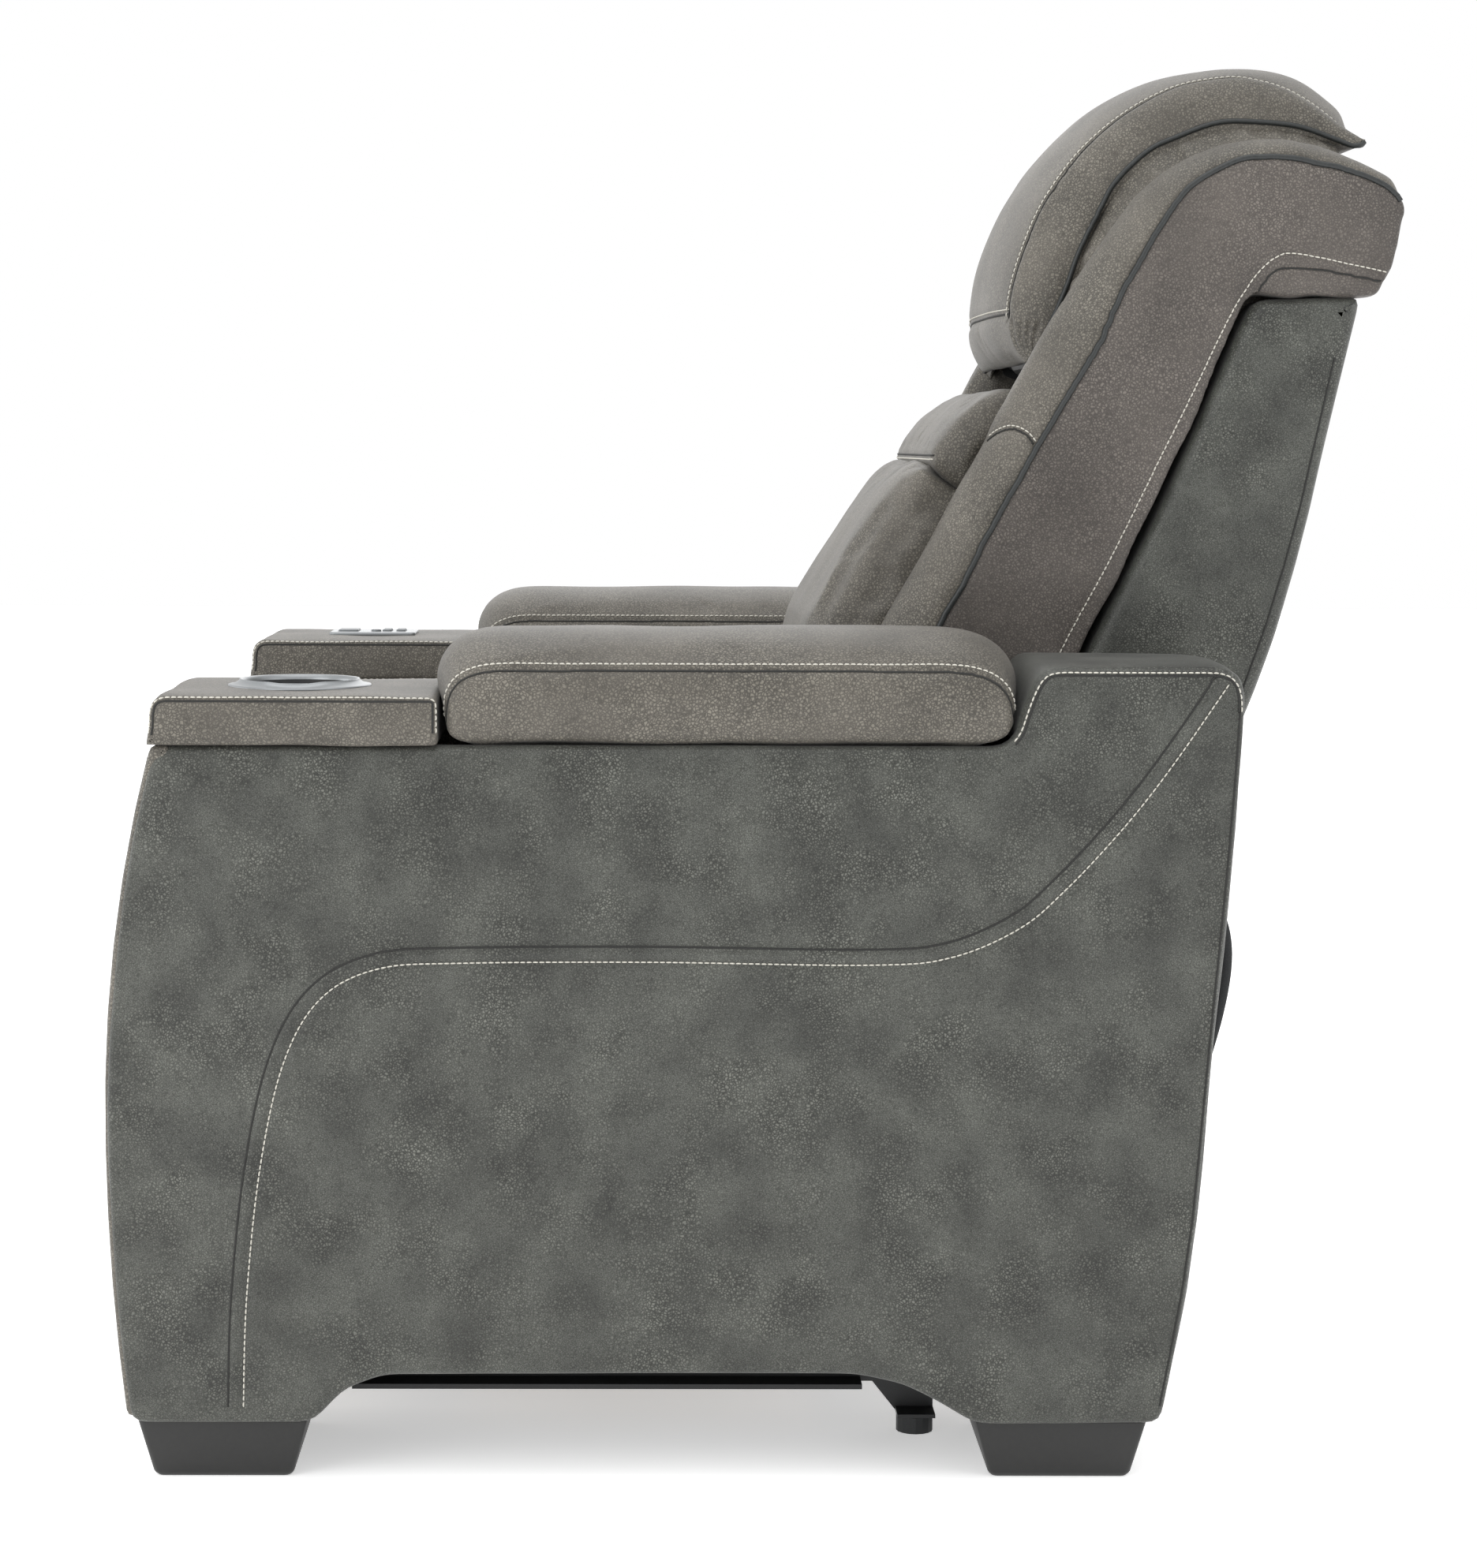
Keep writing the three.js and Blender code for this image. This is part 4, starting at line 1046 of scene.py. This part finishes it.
for label, sign in SIDES:
    stations = wing_stations if sign > 0 else [(-x, ring) for x, ring in reversed(wing_stations)]
    wing = loft(f"wing_cover_{label}", stations, taupe, 8 * MM)
    remesh(wing, 5 * MM)
    inflate(wing, 4 * MM, subdivide=True)
    crumple(wing, 2.2 * MM, 0.06, seed=61 + sign)
    crumple(wing, 6 * MM, 0.032, seed=67, stretch=(1, 1.6, 0.8),
            where=lambda co: max(0.0, 1 - (Vector((co.y, co.z)) - Vector((0.43, 0.985))).length / 0.10))
    crumple(wing, 3.5 * MM, 0.05, seed=69, stretch=(1, 0.9, 0.9),
            where=lambda co: 1.0 if abs(co.x) > CREST_X and 0.60 < co.z < 0.93 else 0.0)
    wing.data.materials.append(mauve)
    piped = [Vector((sign * wing_x1, p.x, p.y)) for p in piped_front]
    tree = kdtree.KDTree(len(piped_front))
    for i, p in enumerate(piped_front):
        tree.insert((0, p.x, p.y), i)
    tree.balance()
    for face in wing.data.polygons:
        c = face.center
        near, index, _ = tree.find((0, c.y, c.z))
        along = piped_front[min(index + 1, len(piped_front) - 1)] - piped_front[max(index - 1, 0)]
        offset = Vector((c.y, c.z)) - piped_front[index]
        behind = along.x * offset.y - along.y * offset.x > 0
        if abs(c.x) > CREST_X + 0.5 * (wing_x1 - CREST_X) and behind:
            face.material_index = 1
    path = snap(surface_of(wing), piped)
    press(wing, [p for p, _ in path], 2.0 * MM, 4 * MM)
    path = snap(surface_of(wing), piped)
    welt = gather(f"wing_piping_{label}", [tube_data([p + n * 0.9 * MM for p, n in path], 2.5 * MM, 10)],
                  piping_vinyl, "back")
    cross = spline([(y * MM, z * MM) for y, z in BOLSTER_CROSS_SEAM], 40)
    sew(wing, "back", side_drop(wing, sign, cross, 60), stitch_offset=2.6 * MM * sign, depth=2 * MM, width=4 * MM)
    side_seam = spline([(y * MM, z * MM) for y, z in WING_SEAM], 160)
    sew(wing, "back", side_drop(wing, sign, side_seam, 160), stitch_offset=0.4 * MM * sign, depth=1.2 * MM,
        width=3 * MM, line=False)
    hem = spline([(y * MM, z * MM) for y, z in WING_HEM], 40)
    sew(wing, "back", side_drop(wing, sign, hem, 40), depth=2.0 * MM, width=3 * MM, rows=0)
    dress(wing, "back", "taupe_side_leather", f"back_wing_{label}", fill=0.85)

# %% [markdown]
# ## Rear shell, top roll and flap
# The dark shell is board with thin wadding, and wraps round both sides; cream stitches run inside its seam to
# the wings. The taupe roll closes the top. Below, a cloth flap hides the gap to the floor: it hangs slack.

# %% Rear shell, top roll and flap
shell = plain_cover("rear_shell_cover", "back_shell", dark, 13 * MM, 7 * MM,
                    lambda t, p, n: 7 * MM * max(n.x, 0) * (1 - t * t), (1.5 * MM, 1.5 * MM), 2, x_trim=-0.5 * MM,
                    middle=26, spacing=8 * MM)
crumple(shell, 2.6 * MM, 0.14, seed=71)
shell_ring = even_ring(node_outline("back_shell"), 4 * MM, 2)
for _, sign in SIDES:
    rim = rim_path(shell_ring, (400, 500), (478, 880), 11 * MM)
    sew(shell, "back", side_drop(shell, sign, rim, 200), depth=1.2 * MM, width=3 * MM, rows=0)
for x in (-0.15, 0.15):
    points = [Vector((x, 0.9, 0.47 + 0.45 * k / 120)) for k in range(121)]
    sew(shell, "back", drop(surface_of(shell), points, (0, -1, 0)), depth=1.5 * MM, width=4 * MM)
dress(shell, "back", "dark_leather", "back_shell")

roll = plain_cover("top_roll_cover", "top_roll", taupe, 12 * MM, 7 * MM, top_facing(-4 * MM, 2), soften=2,
                   x_trim=-12 * MM, middle=20)
crumple(roll, 3.5 * MM, 0.05, seed=77, stretch=(0.5, 1, 1))
dress(roll, "back", "taupe_leather", "top_roll", fill=0.8)

flap_ring = even_ring(node_outline("rear_flap"), 6 * MM, 1)
flap_x0, flap_x1 = x_range("rear_flap")
flap = loft("rear_flap_cover", rounded_stations(flap_ring, flap_x0, flap_x1, 3 * MM, middle=60, edge_steps=3),
            lining)
crumple(flap, 4 * MM, 0.09, seed=81, stretch=(1, 0.4, 0.5))
dress(flap, "back", "dark_leather", "rear_flap")

# %% [markdown]
# ## Headrest
# The front panel domes from the middle to a seam 165 mm out. Outside that seam a side gusset turns back to
# piping on the rear edge. Under the front lip the gusset is gathered into a fan of pleats.

# %% Headrest
HEAD_SEAM_X = 165 * MM
HEAD_CENTRE = [(510, 1068), (516, 1098), (501, 1115), (476, 1132), (446, 1141), (413, 1143), (386, 1140), (345, 1131),
               (303, 1112), (276, 1090), (248, 1060), (235, 1041), (221, 1017), (207, 984), (200, 956), (198, 922),
               (200, 903), (206, 889), (213, 880), (222, 873)]
HEAD_SEAM = [(510, 1068), (493, 1078), (467, 1099), (441, 1115), (415, 1122), (388, 1122), (349, 1115), (310, 1095),
             (279, 1071), (253, 1040), (232, 1004), (216, 962), (208, 930), (207, 906), (212, 890), (222, 873)]
HEAD_PIPING = [(510, 1066), (498, 1064), (484, 1069), (450, 1081), (411, 1085), (380, 1084), (346, 1072),
               (320, 1059), (292, 1031), (276, 999), (262, 971), (253, 945), (240, 915), (230, 894), (222, 873)]
HEAD_FRONT_COUNT, HEAD_UNDER_COUNT = 150, 110
head_x0, head_x1 = x_range("headrest_cushion")
_, under_path = split_outline(node_outline("headrest_cushion"), (510, 1068), (264, 903))
centre_line = spline([(y * MM, z * MM) for y, z in HEAD_CENTRE], HEAD_FRONT_COUNT)
seam_line = spline([(y * MM, z * MM) for y, z in HEAD_SEAM], HEAD_FRONT_COUNT)
piping_line = spline([(y * MM, z * MM) for y, z in HEAD_PIPING], HEAD_FRONT_COUNT)
under_line = even([centre_line[-1]] + under_path, HEAD_UNDER_COUNT)


def head_ring(path):
    return path[:-1] + under_line[:-1]


half = []
for k in range(0, 17):
    share = k / 16
    half.append((HEAD_SEAM_X * share, head_ring([c.lerp(s, share ** 2.4) for c, s in zip(centre_line, seam_line)])))
for k in range(1, 9):
    a = math.pi / 2 * k / 8
    half.append((HEAD_SEAM_X + (head_x1 - HEAD_SEAM_X) * math.sin(a),
                 head_ring([s.lerp(p, 1 - math.cos(a)) for s, p in zip(seam_line, piping_line)])))
head_stations = [(-x, ring) for x, ring in reversed(half[1:])] + half
head = loft("headrest_cover", head_stations, taupe, 7 * MM)
remesh(head, 4.5 * MM)
inflate(head, 3.5 * MM, subdivide=True)
crumple(head, 1.6 * MM, 0.08, seed=91)
LIP_Z = 921 * MM
for _, sign in SIDES:
    points = [Vector((sign * HEAD_SEAM_X, p.x, p.y)) for p in seam_line if p.y > LIP_Z - 5 * MM]
    sew(head, "headrest", snap(surface_of(head), points), stitch_offset=4.0 * MM * sign, depth=2.4 * MM,
        width=4 * MM)
    edge = snap(surface_of(head), [Vector((sign * head_x1, p.x, p.y)) for p in piping_line])
    cord = gather(f"headrest_piping_{'left' if sign > 0 else 'right'}",
                  [tube_data([p + n * 0.6 * MM for p, n in edge], 2.3 * MM, 10)], piping_vinyl, "headrest")
lip = [Vector((x, -0.2, LIP_Z)) for x in [(-HEAD_SEAM_X + 2 * HEAD_SEAM_X * k / 120) for k in range(121)]]
sew(head, "headrest", drop(surface_of(head), lip, (0, 1, 0)), stitch_offset=-3.6 * MM, depth=3.0 * MM, width=5 * MM)
FAN_PLEATS = 4
for _, sign in SIDES:
    for fan in range(FAN_PLEATS):
        top, low = Vector((207 + 7 * fan, 914 - fan)) * MM, Vector((219 + 2 * fan, 880)) * MM
        bow = Vector((-3, -1)) * MM
        pleat = [top.lerp(low, k / 24) + bow * math.sin(math.pi * k / 24) for k in range(25)]
        press(head, [p for p, _ in side_drop(head, sign, pleat, 24)], 2.6 * MM, 2.2 * MM)
dress(head, "headrest", "taupe_leather", "headrest_cushion", fill=0.85)

# %% [markdown]
# ## Headrest gusset
# A soft, wrinkled strip of leather joins each side of the headrest to the wing, so that no gap opens behind
# the piping. One long edge lies along the headrest and the other along the back.

# %% Headrest gusset
CREST = [(494, 1052), (471, 1062), (451, 1069), (420, 1071), (389, 1070), (361, 1062), (335, 1047),
         (309, 1026), (283, 998), (263, 967), (245, 931), (227, 905), (214, 884)]
GUSSET_LONG, GUSSET_WIDE = 110, 16
GUSSET_HEAD_X, GUSSET_BACK_X = 187 * MM, 214 * MM
head_edge = spline([(y * MM, z * MM) for y, z in HEAD_PIPING[2:]], GUSSET_LONG)
crest_edge = spline([(y * MM, z * MM) for y, z in CREST], GUSSET_LONG)
for label, sign in SIDES:
    verts, faces = [], []
    for i, (a, b) in enumerate(zip(head_edge, crest_edge)):
        along = (head_edge[min(i + 1, GUSSET_LONG)] - head_edge[max(i - 1, 0)]).normalized()
        under = Vector((-along.y, along.x))
        start, end = a + under * 5 * MM, b + under * 9 * MM
        for j in range(GUSSET_WIDE + 1):
            share = j / GUSSET_WIDE
            x = GUSSET_HEAD_X + (GUSSET_BACK_X - GUSSET_HEAD_X) * share
            fold = noise.noise(Vector((i * 0.22, share * 1.1, 5.0 * sign)))
            sag = (2 + 9 * fold) * MM * math.sin(math.pi * share)
            p = start.lerp(end, share) + under * sag
            verts.append((sign * x, p.x, p.y))
    row = GUSSET_WIDE + 1
    for i in range(GUSSET_LONG):
        for j in range(GUSSET_WIDE):
            faces.append((i * row + j, i * row + j + 1, (i + 1) * row + j + 1, (i + 1) * row + j))
    mesh = bpy.data.meshes.new(f"headrest_gusset_{label}")
    mesh.from_pydata(verts, [], faces)
    mesh.materials.append(taupe)
    mesh.polygons.foreach_set("use_smooth", [True] * len(mesh.polygons))
    gusset = bpy.data.objects.new(mesh.name, mesh)
    bpy.context.scene.collection.objects.link(gusset)
    thick = gusset.modifiers.new("thick", "SOLIDIFY")
    thick.thickness = 2.4 * MM
    thick.offset = 0
    apply_modifier(gusset, thick)
    facing_out(gusset)
    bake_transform(gusset)

# %% [markdown]
# ## Cup holder, switch panel and buttons
# The cup holder is one moulded cup with a wide sloping ring, vacuum-painted silver, with its inner wall and floor
# in black plastic as painted shade. The switch panel is a bevelled plate with a rocker, a round home button and
# four small keys.


# %% Cup holder
def lathe(name, profile, centre, material, segments=96, shape=lambda r, z, a: (r, z)):
    """A turned piece from [radius, z] points; shape may bend the profile by angle."""
    verts, faces = [], []
    for k in range(segments):
        a = 2 * math.pi * k / segments
        for r, z in profile:
            rr, zz = shape(r, z, a)
            verts.append((centre.x + rr * math.cos(a), centre.y + rr * math.sin(a), zz))
    rows = len(profile)
    for k in range(segments):
        j = (k + 1) % segments
        for i in range(rows - 1):
            faces.append((k * rows + i, j * rows + i, j * rows + i + 1, k * rows + i + 1))
    mesh = bpy.data.meshes.new(name)
    mesh.from_pydata(verts, [], faces)
    work = bmesh.new()
    work.from_mesh(mesh)
    bmesh.ops.remove_doubles(work, verts=work.verts, dist=1e-6)
    bmesh.ops.recalc_face_normals(work, faces=work.faces)
    work.to_mesh(mesh)
    work.free()
    mesh.materials.append(material)
    mesh.polygons.foreach_set("use_smooth", [True] * len(mesh.polygons))
    piece = bpy.data.objects.new(name, mesh)
    bpy.context.scene.collection.objects.link(piece)
    return piece


RING_SLOPE = 13 * MM
cup_top = cup_high[2]
cup_floor = cup_low[2]
ring_base = cup_top - 7 * MM
mouth = cup_ring - RING_SLOPE
profile = [(0, cup_floor), (mouth - 6 * MM, cup_floor), (mouth + 1 * MM, cup_floor + 5 * MM),
           (mouth + 1.6 * MM, ring_base), (cup_ring - 1.5 * MM, ring_base), (cup_ring, ring_base + 0.8 * MM),
           (cup_ring - 0.4 * MM, ring_base + 2.4 * MM)]
profile += [(cup_ring - 1 * MM - (RING_SLOPE - 4.5 * MM) * math.sin(a),
             ring_base + 2.6 * MM + 4.4 * MM * (1 - math.cos(a)) ** 0.8)
            for a in (math.pi / 2 * k / 8 for k in range(1, 9))]
profile += [(mouth + 2.0 * MM, cup_top - 0.2 * MM), (mouth + 0.8 * MM, cup_top - 1.2 * MM),
            (mouth, cup_top - 4 * MM), (mouth - 1.5 * MM, cup_floor + 12 * MM), (mouth - 6 * MM, cup_floor + 3 * MM),
            (0, cup_floor + 2.5 * MM)]


def thumb_notch(r, z, a):
    """A shallow scoop in the ring's slope, on the arm's outer side."""
    close = max(0.0, 1 - (a if a < math.pi else a - 2 * math.pi) ** 2 / 0.55 ** 2)
    if z > ring_base + 2.5 * MM and r > mouth + 1.5 * MM:
        return r - 2.2 * MM * close ** 2, z - 2.0 * MM * close ** 2
    return r, z


cup = lathe("cup_holder_moulding", profile, cup_centre, silver_abs, shape=thumb_notch)
# The cup's inner wall and floor take the black plastic as painted shade, the shadow inside the cup.
cup.data.materials.append(black_abs_and_cup_shade)
for face in cup.data.polygons:
    reach = (Vector((face.center.x, face.center.y)) - cup_centre).length
    if face.center.z < cup_top - 3 * MM and reach < mouth + 0.5 * MM:
        face.material_index = 1
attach(cup, "base")
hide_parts("cup_holder")

# %% Switch panel and buttons
low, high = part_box("control_panel")
plate = post("switch_panel_plate", round_plan(low[0], high[0], low[1], high[1], 5 * MM), low[2], high[2] + 0.4 * MM,
             silver_abs, 1.6 * MM)
BUTTONS = ["recline_rocker", "home_button", "footrest_open_button", "footrest_close_button",
           "headrest_forward_button", "headrest_back_button"]
HOLE_PLAY = 0.5 * MM
for node in BUTTONS:
    b_low, b_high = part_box(node)
    width = b_high[0] - b_low[0]
    corner = width / 2 if node == "home_button" else 1.6 * MM
    hole = round_plan(b_low[0] - HOLE_PLAY, b_high[0] + HOLE_PLAY, b_low[1] - HOLE_PLAY, b_high[1] + HOLE_PLAY,
                      corner + 0.4 * MM)
    cut_out(plate, post("cutter", hole, low[2] - 0.01, high[2] + 0.01, silver_abs))
    button = post(f"{node}_cap", round_plan(b_low[0], b_high[0], b_low[1], b_high[1], corner - 0.05 * MM), b_low[2],
                  b_high[2], button_abs, 1.0 * MM, 2 * MM)
    dress(button, node, "button_plastic", node)
dress(plate, "base", "silver_plastic", "control_panel")
print("switch panel with", len(BUTTONS), "controls")

# %% [markdown]
# ## Feet, steelwork and hidden parts
# The feet are turned out of beech blocks, tapered and lacquered nearly black. The steel frame, links, motor
# and boards keep their CAD shapes and take real finishes.

# %% Feet
FOOT_BEVEL = 2 * MM
for label, sign in SIDES:
    for place in ("front", "rear"):
        node = f"{place}_foot_{label}"
        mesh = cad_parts[node].data
        low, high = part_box(node)
        flare = max(v.co.x for v in mesh.vertices) - max(v.co.x for v in mesh.vertices if v.co.z < low[2] + MM)
        stations = []
        for z, inset in ((low[2], FOOT_BEVEL), (low[2] + FOOT_BEVEL, 0.3 * FOOT_BEVEL), (low[2] + 2 * FOOT_BEVEL, 0),
                         (high[2] - FOOT_BEVEL, 0), (high[2], FOOT_BEVEL / 2)):
            taper = flare * (1 - (z - low[2]) / (high[2] - low[2])) + inset
            stations.append((z, round_plan(low[0] + taper, high[0] - taper, low[1] + taper, high[1] - taper, 5 * MM)))
        foot = stand_up(loft(f"{node}_block", stations, foot_lacquer, 12 * MM))
        dress(foot, "base", "foot_finish", node)


# %% Finishes on the carried-over CAD parts
def finish_nodes(material, *nodes):
    for node in nodes:
        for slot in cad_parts[node].material_slots:
            slot.material = material


for label, _ in SIDES:
    finish_nodes(powder_coat, f"base_rail_{label}", f"seat_plate_{label}", f"upper_link_{label}", f"lower_link_{label}")
    finish_nodes(lining, f"storage_bin_{label}", f"lid_board_{label}")
    finish_nodes(black_abs_and_cup_shade, f"glide_foot_{label}")
finish_nodes(powder_coat, "front_cross_frame", "rear_cross_frame", "torque_tube", "headrest_frame")
finish_nodes(bare_steel, "actuator_rod")
finish_nodes(black_abs_and_cup_shade, "control_housing", "recline_motor", "headrest_motor", "power_inlet")
finish_nodes(plywood, "seat_deck")
finish_nodes(lining, "footrest_board", "back_frame")

# %% [markdown]
# ## Last step
# All seams and stitches are gathered into one piece per body.

# %% Finish
finish_sewing()
